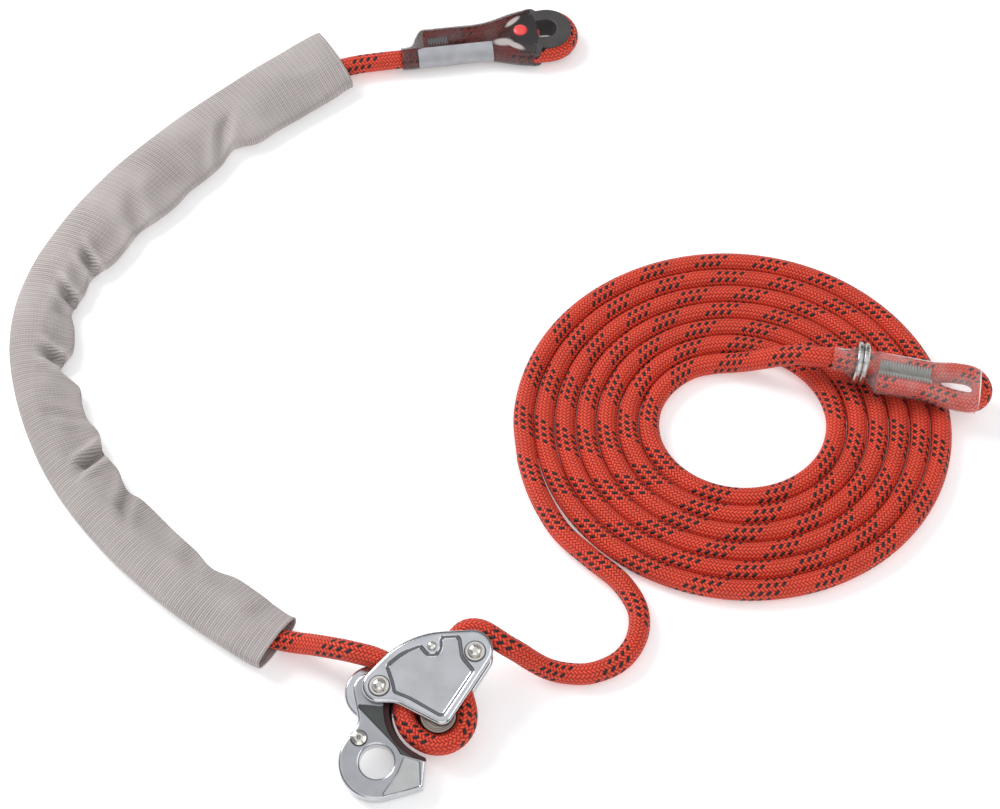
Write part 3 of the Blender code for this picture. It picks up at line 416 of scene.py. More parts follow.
def settle(item: Item, crease: float = 40) -> Item:
    """Joins doubled points, turns faces outwards and marks the creases.

    Args:
        item: the object.
        crease: the angle in degrees past which an edge is sharp.

    Returns:
        The same object.
    """
    work = bmesh.new()
    work.from_mesh(item.data)
    bmesh.ops.remove_doubles(work, verts=work.verts, dist=MERGE_DISTANCE)
    bmesh.ops.recalc_face_normals(work, faces=work.faces)
    work.to_mesh(item.data)
    work.free()
    smooth = [polygon.use_smooth for polygon in item.data.polygons]
    item.data.set_sharp_from_angle(angle=math.radians(crease))
    for polygon, share in zip(item.data.polygons, smooth):
        polygon.use_smooth = share
    return item


def thicken(item: Item, wall: float) -> Item:
    """Gives a skin its wall, inwards.

    Args:
        item: the skin.
        wall: its thickness.

    Returns:
        The same object, with its final mesh.
    """
    step = item.modifiers.new("wall", "SOLIDIFY")
    step.thickness = wall
    step.offset = -1
    return apply_steps(item)


def apply_steps(item: Item) -> Item:
    """Makes an object's modifiers final.

    Args:
        item: the object.

    Returns:
        The same object, with its final mesh.
    """
    graph = bpy.context.evaluated_depsgraph_get()
    mesh = bpy.data.meshes.new_from_object(item.evaluated_get(graph))
    old = item.data
    item.modifiers.clear()
    item.data = mesh
    bpy.data.meshes.remove(old)
    return item


# Finishes
class Recipe:
    """Builds the node tree of one material."""

    def __init__(self, name: str) -> None:
        """Starts a material with its shader.

        Args:
            name: its name.
        """
        self.material = bpy.data.materials.new(name)
        self.material.use_nodes = True
        self.tree = self.material.node_tree
        self.shader = self.tree.nodes["Principled BSDF"]

    def feed(self, socket: Socket, value: object) -> None:
        """Links a socket, or sets its plain value.

        Args:
            socket: the socket.
            value: another socket, a number or a colour.
        """
        if isinstance(value, Socket):
            self.tree.links.new(value, socket)
        elif isinstance(value, tuple) and len(value) == 3 and socket.type == "RGBA":
            socket.default_value = (*value, 1.0)
        else:
            socket.default_value = value

    def set(self, **values: object) -> None:
        """Sets the shader's sockets; a name's underscores stand for spaces."""
        for name, value in values.items():
            self.feed(self.shader.inputs[name.replace("_", " ")], value)

    def math(self, operation: str, first: object, second: object = 0.0,
             third: object = 0.0) -> Socket:
        """Adds one sum.

        Args:
            operation: its name.
            first: its first value.
            second: its second value.
            third: its third value.

        Returns:
            The result's socket.
        """
        node = self.tree.nodes.new("ShaderNodeMath")
        node.operation = operation
        for socket, value in zip(node.inputs, (first, second, third)):
            self.feed(socket, value)
        return node.outputs[0]

    def plus(self, first: object, second: object) -> Socket:
        """Returns the sum of two values."""
        return self.math("ADD", first, second)

    def minus(self, first: object, second: object) -> Socket:
        """Returns the first value less the second."""
        return self.math("SUBTRACT", first, second)

    def times(self, first: object, second: object) -> Socket:
        """Returns the product of two values."""
        return self.math("MULTIPLY", first, second)

    def wave(self, place: object) -> Socket:
        """Returns a sine wave that repeats at every whole number."""
        return self.math("SINE", self.times(place, math.tau))

    def mix(self, share: object, first: object, second: object) -> Socket:
        """Mixes two colours.

        Args:
            share: how much of the second there is.
            first: the first.
            second: the second.

        Returns:
            The mixture's socket.
        """
        node = self.tree.nodes.new("ShaderNodeMix")
        node.data_type = "RGBA"
        self.feed(node.inputs[0], share)
        self.feed(node.inputs[6], first)
        self.feed(node.inputs[7], second)
        return node.outputs[2]

    def span(self, value: object, low: float, high: float, start: float = 0.0,
             stop: float = 1.0) -> Socket:
        """Maps low to high onto start to stop, held at both ends.

        Args:
            value: what is mapped.
            low: the value that gives start.
            high: the value that gives stop.
            start: the first result.
            stop: the last result.

        Returns:
            The result's socket.
        """
        node = self.tree.nodes.new("ShaderNodeMapRange")
        self.feed(node.inputs[0], value)
        for socket, number in zip(list(node.inputs)[1:5], (low, high, start, stop)):
            socket.default_value = number
        return node.outputs[0]

    def place(self) -> Socket:
        """Returns the place on the object, in metres."""
        return self.tree.nodes.new("ShaderNodeTexCoord").outputs["Object"]

    def surface(self) -> tuple[Socket, Socket]:
        """Reads the surface's own coordinates.

        Returns:
            The sockets of the two.
        """
        node = self.tree.nodes.new("ShaderNodeUVMap")
        node.uv_map = "surface"
        parts = self.tree.nodes.new("ShaderNodeSeparateXYZ")
        self.tree.links.new(node.outputs[0], parts.inputs[0])
        return parts.outputs[0], parts.outputs[1]

    def noise(self, scale: float, detail: float = 3, rough: float = 0.5, stretch: tuple | None = None,
              at: Socket | None = None) -> Socket:
        """Adds a cloudy pattern.

        Args:
            scale: patches in a metre.
            detail: how many finer layers it has.
            rough: how strong those are.
            stretch: its scale along each axis.
            at: where it is read, or None for the place on the object.

        Returns:
            Its value's socket.
        """
        node = self.tree.nodes.new("ShaderNodeTexNoise")
        node.inputs["Scale"].default_value = scale
        node.inputs["Detail"].default_value = detail
        node.inputs["Roughness"].default_value = rough
        where = at or self.place()
        if stretch:
            mapping = self.tree.nodes.new("ShaderNodeMapping")
            mapping.inputs["Scale"].default_value = stretch
            self.tree.links.new(where, mapping.inputs[0])
            where = mapping.outputs[0]
        self.tree.links.new(where, node.inputs["Vector"])
        return node.outputs[0]

    def vector(self, x: object, y: object, z: object = 0.0) -> Socket:
        """Joins three values into a vector.

        Args:
            x: its first value.
            y: its second value.
            z: its third value.

        Returns:
            Its socket.
        """
        node = self.tree.nodes.new("ShaderNodeCombineXYZ")
        for socket, value in zip(node.inputs, (x, y, z)):
            self.feed(socket, value)
        return node.outputs[0]

    def relief(self, height: object, depth: float, strength: float = 1.0) -> None:
        """Raises the surface's shading.

        Args:
            height: the height's pattern, from 0 to 1.
            depth: how high 1 stands, in metres.
            strength: how much of it shows.
        """
        node = self.tree.nodes.new("ShaderNodeBump")
        node.inputs["Strength"].default_value = strength
        node.inputs["Distance"].default_value = depth
        self.feed(node.inputs["Height"], height)
        self.tree.links.new(node.outputs[0], self.shader.inputs["Normal"])


@dataclass(frozen=True)
class BraidFinish:
    """Plaited sheath: yarns cross two over, two under, and some of one hand are dark; painted highlights lie
    on the yarns' tops and painted shade in the gaps between yarns.
    """

    carriers: int = 16
    lay: float = 0.037
    red: Colour = (0.84, 0.046, 0.017)
    # The next two colours are painted light: painted shade for the gaps between yarns, and a painted
    # highlight for the yarns' tops.
    painted_gap_shade: Colour = (0.17, 0.004, 0.003)
    bright: Colour = (0.97, 0.16, 0.060)
    dark: Colour = (0.008, 0.004, 0.004)
    dark_fibre: Colour = (0.15, 0.045, 0.035)
    yarn_depth: float = 0.0007

    def build(self) -> Material:
        """Builds the material.

        Returns:
            The material.
        """
        recipe = Recipe("braided_sheath")
        round_place, along = recipe.surface()
        around = recipe.times(round_place, -1.0)
        turn = recipe.math("DIVIDE", along, self.lay)
        first = recipe.times(recipe.minus(around, turn), float(self.carriers))
        second = recipe.times(recipe.plus(around, turn), float(self.carriers))
        cell_a, cell_b = recipe.math("FLOOR", first), recipe.math("FLOOR", second)
        part_a, part_b = recipe.math("FRACT", first), recipe.math("FRACT", second)
        step = recipe.math("FLOORED_MODULO", recipe.plus(cell_a, cell_b), 4.0)
        over = recipe.math("LESS_THAN", step, 1.5)
        across = self.choose(recipe, over, part_a, part_b)
        float_a = recipe.plus(step, part_b)
        float_b = recipe.plus(recipe.minus(step, 2.0), part_a)
        length = self.choose(recipe, over, float_a, float_b)
        side = recipe.minus(recipe.times(across, 2.0), 1.0)
        round_side = recipe.minus(1.0, recipe.math("POWER", recipe.math("ABSOLUTE", side), 2.4))
        rise = recipe.minus(length, 1.0)
        round_end = recipe.minus(1.0, recipe.math("POWER", recipe.math("ABSOLUTE", rise), 2.6))
        crown = recipe.times(round_side, recipe.math("MAXIMUM", round_end, 0.0))
        height = recipe.math("POWER", recipe.math("MAXIMUM", crown, 0.0), 0.5)
        number = recipe.math("FLOORED_MODULO", cell_a, float(self.carriers))
        even = recipe.math("LESS_THAN", recipe.math("FLOORED_MODULO", cell_a, 2.0), 0.5)
        group = recipe.math("LESS_THAN", number, self.carriers / 2 - 0.5)
        tracer = recipe.times(over, recipe.times(even, group))
        fibre_place = recipe.vector(recipe.times(across, 7.0), length,
                                    recipe.plus(cell_a, recipe.times(cell_b, 3.7)))
        fibres = recipe.noise(1.0, 2, 0.6, (1.0, 1.0, 1.0), fibre_place)
        patches = recipe.noise(60.0, 2)
        red = recipe.mix(recipe.span(patches, 0.35, 0.65), self.red, tuple(0.86 * c for c in self.red))
        # Painted highlight on each yarn's top, and painted shade towards its edges and in the gaps.
        highlight_share = recipe.times(recipe.span(height, 0.72, 0.98), recipe.span(fibres, 0.42, 0.62, 0.25, 1.0))
        lit = recipe.mix(recipe.times(highlight_share, 0.62), red, self.bright)
        yarn = recipe.mix(recipe.span(height, 0.10, 0.72), self.painted_gap_shade, lit)
        dark = recipe.mix(recipe.span(fibres, 0.50, 0.75, 0.0, 0.30), self.dark, self.dark_fibre)
        recipe.set(Base_Color=recipe.mix(tracer, yarn, dark), Roughness=0.55, Sheen_Weight=0.04,
                   Sheen_Roughness=0.5, Specular_IOR_Level=0.45)
        grain = recipe.times(recipe.minus(fibres, 0.5), 0.16)
        recipe.relief(recipe.plus(height, grain), self.yarn_depth)
        return recipe.material

    @staticmethod
    def choose(recipe: Recipe, test: object, yes: object, no: object) -> Socket:
        """Returns yes where the test is 1, and no where it is 0."""
        return recipe.math("MULTIPLY_ADD", recipe.minus(yes, no), test, no)


@dataclass(frozen=True)
class ClothFinish:
    """Warm grey woven tube with a fine cross rib; painted shade in the ribs' troughs and in the sleeve's
    creases, painted light on its folds' tops.
    """

    light: Colour = (0.625, 0.566, 0.550)
    # shade is painted shade for the ribs' troughs and the creases; the last colour is painted light for the
    # folds' tops.
    shade: Colour = (0.150, 0.125, 0.118)
    ridge: Colour = (0.700, 0.640, 0.622)
    rib: float = 0.00142
    cross: float = 0.0016

    def build(self) -> Material:
        """Builds the material.

        Returns:
            The material.
        """
        recipe = Recipe("woven_sleeve")
        around, along = recipe.surface()
        drift = recipe.times(recipe.minus(recipe.noise(22.0, 2), 0.5), 0.9)
        ribs = recipe.wave(recipe.plus(recipe.math("DIVIDE", along, self.rib), drift))
        thread = recipe.wave(recipe.math("DIVIDE", around, self.cross))
        height = recipe.span(recipe.math("MULTIPLY_ADD", thread, 0.22, ribs), -1.2, 1.2)
        cloud = recipe.noise(9.0, 3)
        strong = recipe.span(recipe.noise(30.0, 2), 0.30, 0.70, 0.55, 1.0)
        base = recipe.mix(recipe.span(cloud, 0.35, 0.65), self.light, tuple(0.90 * c for c in self.light))
        lines = recipe.times(recipe.minus(1.0, height), strong)
        # The sleeve's painted fold shading: below 1 it paints shade into the creases, above 1 it paints
        # light on the folds' tops.
        tone = recipe.tree.nodes.new("ShaderNodeAttribute")
        tone.attribute_name = "painted_fold_shading"
        # Painted shade in the ribs' troughs.
        cloth = recipe.mix(recipe.times(lines, 0.80), base, self.shade)
        depth = recipe.minus(1.0, tone.outputs["Fac"])
        held = recipe.math("MINIMUM", recipe.math("MAXIMUM", depth, 0.0), 1.0)
        with_crease_shade = recipe.mix(held, cloth, self.shade)
        with_fold_light = recipe.mix(recipe.span(tone.outputs["Fac"], 1.0, 1.1, 0.0, 0.35), with_crease_shade, self.ridge)
        recipe.set(Base_Color=with_fold_light, Roughness=0.88, Sheen_Weight=0.25, Sheen_Roughness=0.4,
                   Specular_IOR_Level=0.2)
        recipe.relief(height, 0.00030)
        return recipe.material


@dataclass(frozen=True)
class MetalFinish:
    """Metal with fine wear: its colour, roughness and the grain's direction."""

    name: str
    colour: Colour
    rough: float
    grain: float = 900.0
    stretch: tuple = (1.0, 1.0, 1.0)
    relief: float = 0.00002
    metal: float = 1.0

    def build(self) -> Material:
        """Builds the material.

        Returns:
            The material.
        """
        recipe = Recipe(self.name)
        fine = recipe.noise(self.grain, 3, 0.6, self.stretch)
        broad = recipe.noise(85.0, 3)
        worn = recipe.mix(recipe.span(broad, 0.35, 0.7), self.colour, tuple(0.86 * c for c in self.colour))
        spread = recipe.times(recipe.minus(fine, 0.5), 0.22)
        rough = recipe.plus(recipe.math("MULTIPLY_ADD", broad, 0.08, self.rough - 0.04), spread)
        recipe.set(Base_Color=worn, Metallic=self.metal, Roughness=rough)
        recipe.relief(fine, self.relief)
        return recipe.material


@dataclass(frozen=True)
class MouldedFinish:
    """Moulded plastic or rubber: its colour, roughness and fine skin."""

    name: str
    colour: Colour
    rough: float
    skin: float = 0.00005
    grain: float = 1600.0

    def build(self) -> Material:
        """Builds the material.

        Returns:
            The material.
        """
        recipe = Recipe(self.name)
        fine = recipe.noise(self.grain, 2)
        broad = recipe.noise(120.0, 3)
        lighter = tuple(min(1.0, 1.22 * c + 0.004) for c in self.colour)
        recipe.set(Base_Color=recipe.mix(recipe.span(broad, 0.35, 0.68), self.colour, lighter),
                   Roughness=recipe.math("MULTIPLY_ADD", fine, 0.14, self.rough - 0.07))
        recipe.relief(fine, self.skin)
        return recipe.material


@dataclass(frozen=True)
class FilmFinish:
    """Shrunk film that shows the rope under it, with a milky or smoky bloom, and patches of another colour,
    some of them painted highlights.
    """

    name: str
    colour: Colour
    haze: Colour
    clear: float
    dense: float
    rough: float = 0.16
    ripple: float = 0.00020
    patches: tuple = ()

    def build(self) -> Material:
        """Builds the material.

        Returns:
            The material.
        """
        recipe = Recipe(self.name)
        bloom = recipe.span(recipe.noise(70.0, 3, 0.55), 0.35, 0.72)
        ripple = recipe.noise(150.0, 2)
        alpha = recipe.math("MULTIPLY_ADD", bloom, self.dense - self.clear, self.clear)
        along, across = recipe.surface()
        colour = recipe.mix(bloom, self.colour, self.haze)
        # Each patch lays its own colour and alpha over the film; the glare and gleam patches are painted
        # highlights.
        for spot, tone, cover in self.patches:
            full = self.ellipse(recipe, along, across, spot)
            colour = recipe.mix(full, colour, tone)
            rest = recipe.minus(1.0, full)
            alpha = recipe.math("MULTIPLY_ADD", full, cover, recipe.times(alpha, rest))
        recipe.set(Base_Color=colour, Alpha=alpha,
                   Roughness=recipe.math("MULTIPLY_ADD", ripple, 0.08, self.rough), Coat_Weight=0.5)
        recipe.relief(ripple, self.ripple, 0.6)
        return recipe.material

    @staticmethod
    def ellipse(recipe: Recipe, along: object, across: object, spot: tuple) -> Socket:
        """Gives 1 inside a turned ellipse and 0 outside, soft at its edge.

        Args:
            recipe: the material's recipe.
            along: the place along the film.
            across: the place across it.
            spot: its centre, half its length, half its width, and how far it is turned.

        Returns:
            The value.
        """
        x, y, long, wide, turn = spot
        off_x, off_y = recipe.minus(along, x), recipe.minus(across, y)
        turned, rise = math.cos(turn), math.sin(turn)
        u = recipe.plus(recipe.times(off_x, turned / long), recipe.times(off_y, rise / long))
        v = recipe.minus(recipe.times(off_y, turned / wide), recipe.times(off_x, rise / wide))
        gone = recipe.plus(recipe.times(u, u), recipe.times(v, v))
        return recipe.span(gone, 0.45, 1.35, 1.0, 0.0)


@dataclass(frozen=True)
class ThreadFinish:
    """Sewing thread, twisted, with painted shade in the twist's troughs."""

    name: str
    colour: Colour
    twist: float = 0.0011

    def build(self) -> Material:
        """Builds the material.

        Returns:
            The material.
        """
        recipe = Recipe(self.name)
        around, along = recipe.surface()
        twist = recipe.wave(recipe.plus(recipe.math("DIVIDE", along, self.twist), around))
        height = recipe.span(twist, -1.0, 1.0)
        # Darker in the twist's troughs: painted shade.
        dark = tuple(0.5 * c for c in self.colour)
        recipe.set(Base_Color=recipe.mix(height, dark, self.colour), Roughness=0.6)
        recipe.relief(height, 0.0001)
        return recipe.material


class Wardrobe:
    """Every finish of the lanyard, built once."""

    def __init__(self) -> None:
        """Builds the materials."""
        self.rope = BraidFinish().build()
        self.cloth = ClothFinish().build()
        self.rim = MetalFinish("polished_aluminium", (0.60, 0.61, 0.63), 0.20, relief=0.000008).build()
        # A dark finish for painted shade: round the seat rings and in the arm rivet's head.
        self.painted_shade = MetalFinish("painted_shade_metal", (0.16, 0.16, 0.16), 0.40).build()
        self.bollard = MetalFinish("worn_bollard", (0.34, 0.29, 0.25), 0.30, 1500.0, (1.0, 1.0, 6.0)).build()
        # Painted shade for the steep wall of the panel's step.
        self.wall = MetalFinish("panel_wall_painted_shade", (0.17, 0.175, 0.19), 0.62, metal=0.25).build()
        self.panel = MetalFinish("satin_panel", (0.54, 0.545, 0.565), 0.46, 2400.0, metal=0.85).build()
        self.arm_face = MetalFinish("satin_arm_face", (0.44, 0.445, 0.465), 0.40, 2000.0, metal=0.9).build()
        self.gusset = MetalFinish("dark_gusset", (0.095, 0.102, 0.095), 0.36, metal=0.9).build()
        # Painted shade, with the rope's red in it as a painted reflection, for the arm's walls and lip
        # beside the rope.
        self.seat = MetalFinish("rope_seat_painted_shade", (0.055, 0.018, 0.020), 0.50, metal=0.4).build()
        self.pocket = MetalFinish("pocket_metal", (0.56, 0.56, 0.55), 0.36, metal=0.95).build()
        self.stainless = MetalFinish("stainless_domes", (0.70, 0.67, 0.62), 0.18, relief=0.00001).build()
        self.ring_steel = MetalFinish("turned_rings", (0.60, 0.60, 0.58), 0.27,
                                      stretch=(0.2, 1.0, 1.0)).build()
        self.washer = MouldedFinish("bearing_washer", (0.62, 0.62, 0.60), 0.5).build()
        self.thimble = MouldedFinish("thimble_rubber", (0.050, 0.047, 0.045), 0.52, 0.00008).build()
        self.keeper = MouldedFinish("keeper_plastic", (0.80, 0.075, 0.070), 0.34, 0.00003).build()
        # Patches on the films: glare and gleam are painted reflections, the first clear patch is a painted
        # highlight along the end film's upper edge, and shade darkens the smoky film round the keeper's
        # button.
        glare, shade, gleam = (0.66, 0.60, 0.58), (0.030, 0.026, 0.027), (0.95, 0.92, 0.90)
        smoke_patches = (((-0.0130, -0.0010, 0.0092, 0.0190, 0.0), shade, 0.80),
                         ((-0.0172, 0.0, 0.0068, 0.0068, 0.0), shade, 0.86),
                         ((-0.0214, 0.0085, 0.0064, 0.0019, 0.66), glare, 0.66),
                         ((-0.0296, -0.0078, 0.0066, 0.0031, -0.20), glare, 0.60),
                         ((-0.0225, -0.0118, 0.0068, 0.0021, -0.62), glare, 0.64))
        clear_film_highlights = (((0.0300, 0.0112, 0.0210, 0.0007, 0.0), (0.95, 0.90, 0.88), 0.62),
                         ((0.0715, 0.0, 0.0004, 0.0150, 0.0), gleam, 0.7),
                         ((-0.0120, 0.0085, 0.0040, 0.0006, 0.0), gleam, 0.6))
        self.smoke = FilmFinish("smoky_film", (0.050, 0.018, 0.018), (0.14, 0.08, 0.08), 0.36, 0.54,
                                patches=smoke_patches).build()
        self.clear = FilmFinish("clear_film", (0.92, 0.76, 0.72), (0.96, 0.92, 0.90), 0.03, 0.13, 0.08,
                                patches=clear_film_highlights).build()
        self.label = MouldedFinish("silver_label", (0.36, 0.365, 0.385), 0.36, 0.00006, 300.0).build()
        self.thread = ThreadFinish("grey_thread", (0.42, 0.43, 0.40)).build()
        self.dark_thread = ThreadFinish("dark_thread", (0.16, 0.16, 0.16)).build()


# Rope
@dataclass
class LanyardRope:
    """One braided rope: round the eye, through the sleeve and adjuster, into the coil."""

    wardrobe: Wardrobe
    step: float = 0.0024
    sides: int = 18
    flatness: float = 1.028
    coil_x: float = 0.1431
    coil_y: float = -0.0399
    coil_radius: float = 0.1260
    coil_widening: float = 0.0021
    coil_gap: float = 0.00048
    coil_start: float = math.radians(192)
    coil_turns: float = 6.25
    coil_drift: float = 0.0008
    coil_points_in_turn: int = 24
    coiled_from: float = 2.0
    upper_length: float = 0.830
    lower_length: float = 3.720

    UPPER = [
        (-0.0780, 0.2437, 0.0080), (-0.0930, 0.2410, 0.0079), (-0.1100, 0.2350, 0.0079),
        (-0.1290, 0.2255, 0.0079), (-0.1500, 0.2125, 0.0079), (-0.1715, 0.1965, 0.0079),
        (-0.1935, 0.1780, 0.0079), (-0.2145, 0.1565, 0.0079), (-0.2330, 0.1325, 0.0079),
        (-0.2495, 0.1065, 0.0079), (-0.2625, 0.0800, 0.0079), (-0.2725, 0.0515, 0.0079),
        (-0.2775, 0.0220, 0.0079), (-0.2780, -0.0060, 0.0079), (-0.2735, -0.0325, 0.0079),
        (-0.2630, -0.0575, 0.0079), (-0.2480, -0.0805, 0.0079), (-0.2290, -0.1035, 0.0079),
        (-0.2080, -0.1260, 0.0079), (-0.1865, -0.1460, 0.0079), (-0.1650, -0.1632, 0.0079),
        (-0.1450, -0.1770, 0.0080), (-0.1285, -0.1860, 0.0088), (-0.1143, -0.1912, 0.0118),
        (-0.1040, -0.1950, 0.0162), (-0.0939, -0.1994, 0.0210), (-0.0850, -0.2032, 0.0246),
    ]
    THROUGH = [
        (-0.0125, 0.0210), (-0.0040, 0.0187), (0.0040, 0.0148), (0.0102, 0.0090),
        (0.0136, 0.0015), (0.0136, -0.0065), (0.0136, -0.0140), (0.0163, -0.0213),
        (0.0217, -0.0270), (0.0290, -0.0304), (0.0368, -0.0302), (0.0434, -0.0264),
        (0.0474, -0.0200), (0.0480, -0.0125), (0.0460, -0.0040), (0.0432, 0.0045),
        (0.0410, 0.0130), (0.0404, 0.0215), (0.0425, 0.0295), (0.0482, 0.0345),
        (0.0555, 0.0345), (0.0618, 0.0312),
    ]
    TAIL = [
        (0.0040, -0.1998, 0.0254), (0.0120, -0.2022, 0.0203), (0.0200, -0.2044, 0.0138),
        (0.0280, -0.2061, 0.0085), (0.0370, -0.2075, 0.0062), (0.0520, -0.2078, 0.0060),
        (0.0690, -0.2000, 0.0060), (0.0788, -0.1855, 0.0060), (0.0803, -0.1678, 0.0060),
        (0.0712, -0.1492, 0.0060), (0.0542, -0.1327, 0.0060), (0.0374, -0.1151, 0.0060),
        (0.0268, -0.0954, 0.0060), (0.0213, -0.0803, 0.0060),
    ]
    INNER = [
        (0.1440, 0.0038, 0.0078), (0.1530, 0.0022, 0.0118), (0.1615, 0.0004, 0.0168),
        (0.1705, -0.0012, 0.0220), (0.1800, -0.0029, 0.0256), (0.1900, -0.0050, 0.0272),
    ]

    def coil_point(self, turned_by: float) -> Vector:
        """Finds a point of the coil's spiral.

        Args:
            turned_by: the angle from the coil's start.

        Returns:
            The point.
        """
        radius = self.coil_radius - (2 * ROPE_RADIUS + self.coil_gap) * turned_by / math.tau
        angle = self.coil_start - turned_by
        return Vector((self.coil_x + (radius + self.coil_widening) * math.cos(angle),
                       self.coil_y + (radius - self.coil_widening) * math.sin(angle), ROPE_RADIUS))

    def coil_points(self) -> list[Vector]:
        """Lists the coil's own points, the last drawn in a little.

        Returns:
            The points.
        """
        count = round(self.coil_turns * self.coil_points_in_turn)
        route = [self.coil_point(math.tau / self.coil_points_in_turn * i) for i in range(count + 1)]
        centre = Vector((self.coil_x, self.coil_y, ROPE_RADIUS))
        route[-1] += (centre - route[-1]).normalized() * self.coil_drift
        return route

    def lay(self, eye: "ThimbleEye", adjuster: "CamAdjuster",
            end: "StopperEnd") -> tuple[list[Vector], list[int]]:
        """Lays the whole rope as one line.

        Args:
            eye: the thimble eye that it starts in.
            adjuster: the adjuster that it runs through.
            end: the stopper end that it finishes in.

        Returns:
            Its points at even steps, and where the four stretches meet.
        """
        in_eye = [eye.matrix @ point for point in reversed(eye.route())]
        in_end = [end.matrix @ point for point in end.route()]
        through = [adjuster.point(u, v) for u, v in self.THROUGH]
        coil = self.coil_points()
        free = smooth_route([in_eye[-1]] + self.UPPER + through + self.TAIL + [coil[0]])
        split = (len(self.UPPER) + len(through)) * ROUTE_PIECES
        inner = smooth_route([coil[-1]] + self.INNER + [in_end[0]])
        lower = free[split:] + smooth_route(coil, 5)[1:] + inner[1:]
        line, marks = [], []
        for stretch in (in_eye, free[:split + 1], lower, in_end):
            line += resample(stretch, self.step)[1 if line else 0:]
            marks.append(len(line) - 1)
        return line, [0] + marks

    def rings(self, line: list[Vector]) -> list[list[Vector]]:
        """Sets a ring across the rope at every point, none turned against the last.

        Args:
            line: the rope's line.

        Returns:
            The rings' points.
        """
        across, rings = Vector((0, 0, 1)), []
        for i, spot in enumerate(line):
            ahead = (line[min(i + 1, len(line) - 1)] - line[max(i - 1, 0)]).normalized()
            across = (across - ahead * across.dot(ahead)).normalized()
            side = ahead.cross(across)
            ring = []
            for k in range(self.sides):
                angle = math.tau * k / self.sides
                out = ROPE_RADIUS * (across * math.cos(angle) + side * math.sin(angle))
                ring.append(spot + Vector((out.x * self.flatness, out.y * self.flatness, out.z)))
            rings.append(ring)
        return rings

    def braid(self, name: str, rings: list[list[Vector]], start: float,
              finish: Material) -> Item:
        """Makes one stretch of the sheath, closed at both ends.

        Args:
            name: the piece's name.
            rings: its rings.
            start: how far along the rope it starts.
            finish: its material.

        Returns:
            The piece.
        """
        shape = Shape(name)
        numbers = [shape.ring(ring) for ring in rings]
        shape.tube(numbers, [start + i * self.step for i in range(len(rings))])
        for ring in (numbers[0][::-1], numbers[-1]):
            shape.face(tuple(ring), flat=True, uv=[(0.5, start)] * self.sides)
        return shape.make([finish])

    def build(self, eye: "ThimbleEye", adjuster: "CamAdjuster", end: "StopperEnd") -> list[Vector]:
        """Args:
            eye: the thimble eye.
            adjuster: the adjuster.
            end: the stopper end.

        Returns:
            The line from the eye to the adjuster.
        """
        line, marks = self.lay(eye, adjuster, end)
        rings = self.rings(line)
        stretches = (("eye_braid", ("rope_eye",), 0),
                     ("upper_braid", ("rope_upper_run", "rope_device_wrap"), self.upper_length),
                     ("lower_braid", ("rope_tail_run", "rope_coil", "rope_end_run"), self.lower_length),
                     ("end_braid", ("rope_end_eye",), 0))
        for (name, nodes, length), start, stop in zip(stretches, marks, marks[1:]):
            piece = self.braid(name, rings[start:stop + 1], start * self.step, self.wardrobe.rope)
            hand_in(piece, Body.LANYARD, *nodes)
        return line[marks[1]:marks[2] + 1]


# Adjuster
@dataclass
class Hollow:
    """A place sunk into a face: its outline, depth, the width of its sloping wall, and its finish."""

    discs: list
    depth: float
    wall: float
    finish: int
    floor_share: float = 0.98

    def __post_init__(self) -> None:
        """Draws its outline."""
        self.outline = belt(self.discs)

    def drop(self, spot: Point) -> float:
        """Measures how deep it is at a place.

        Args:
            spot: the place.

        Returns:
            The depth.
        """
        if not inside(spot, self.outline):
            return 0.0
        return self.depth * min(1.0, edge_distance(spot, self.outline) / self.wall)

    def finish_at(self, spot: Point, other: int) -> int:
        """Chooses the finish at a place: its own on the floor, the rim's on its wall.

        Args:
            spot: the place.
            other: the finish outside it.

        Returns:
            The finish.
        """
        if not inside(spot, self.outline):
            return other
        on_floor = edge_distance(spot, self.outline) > self.wall * self.floor_share
        return self.finish if on_floor else ArmMetal.RIM


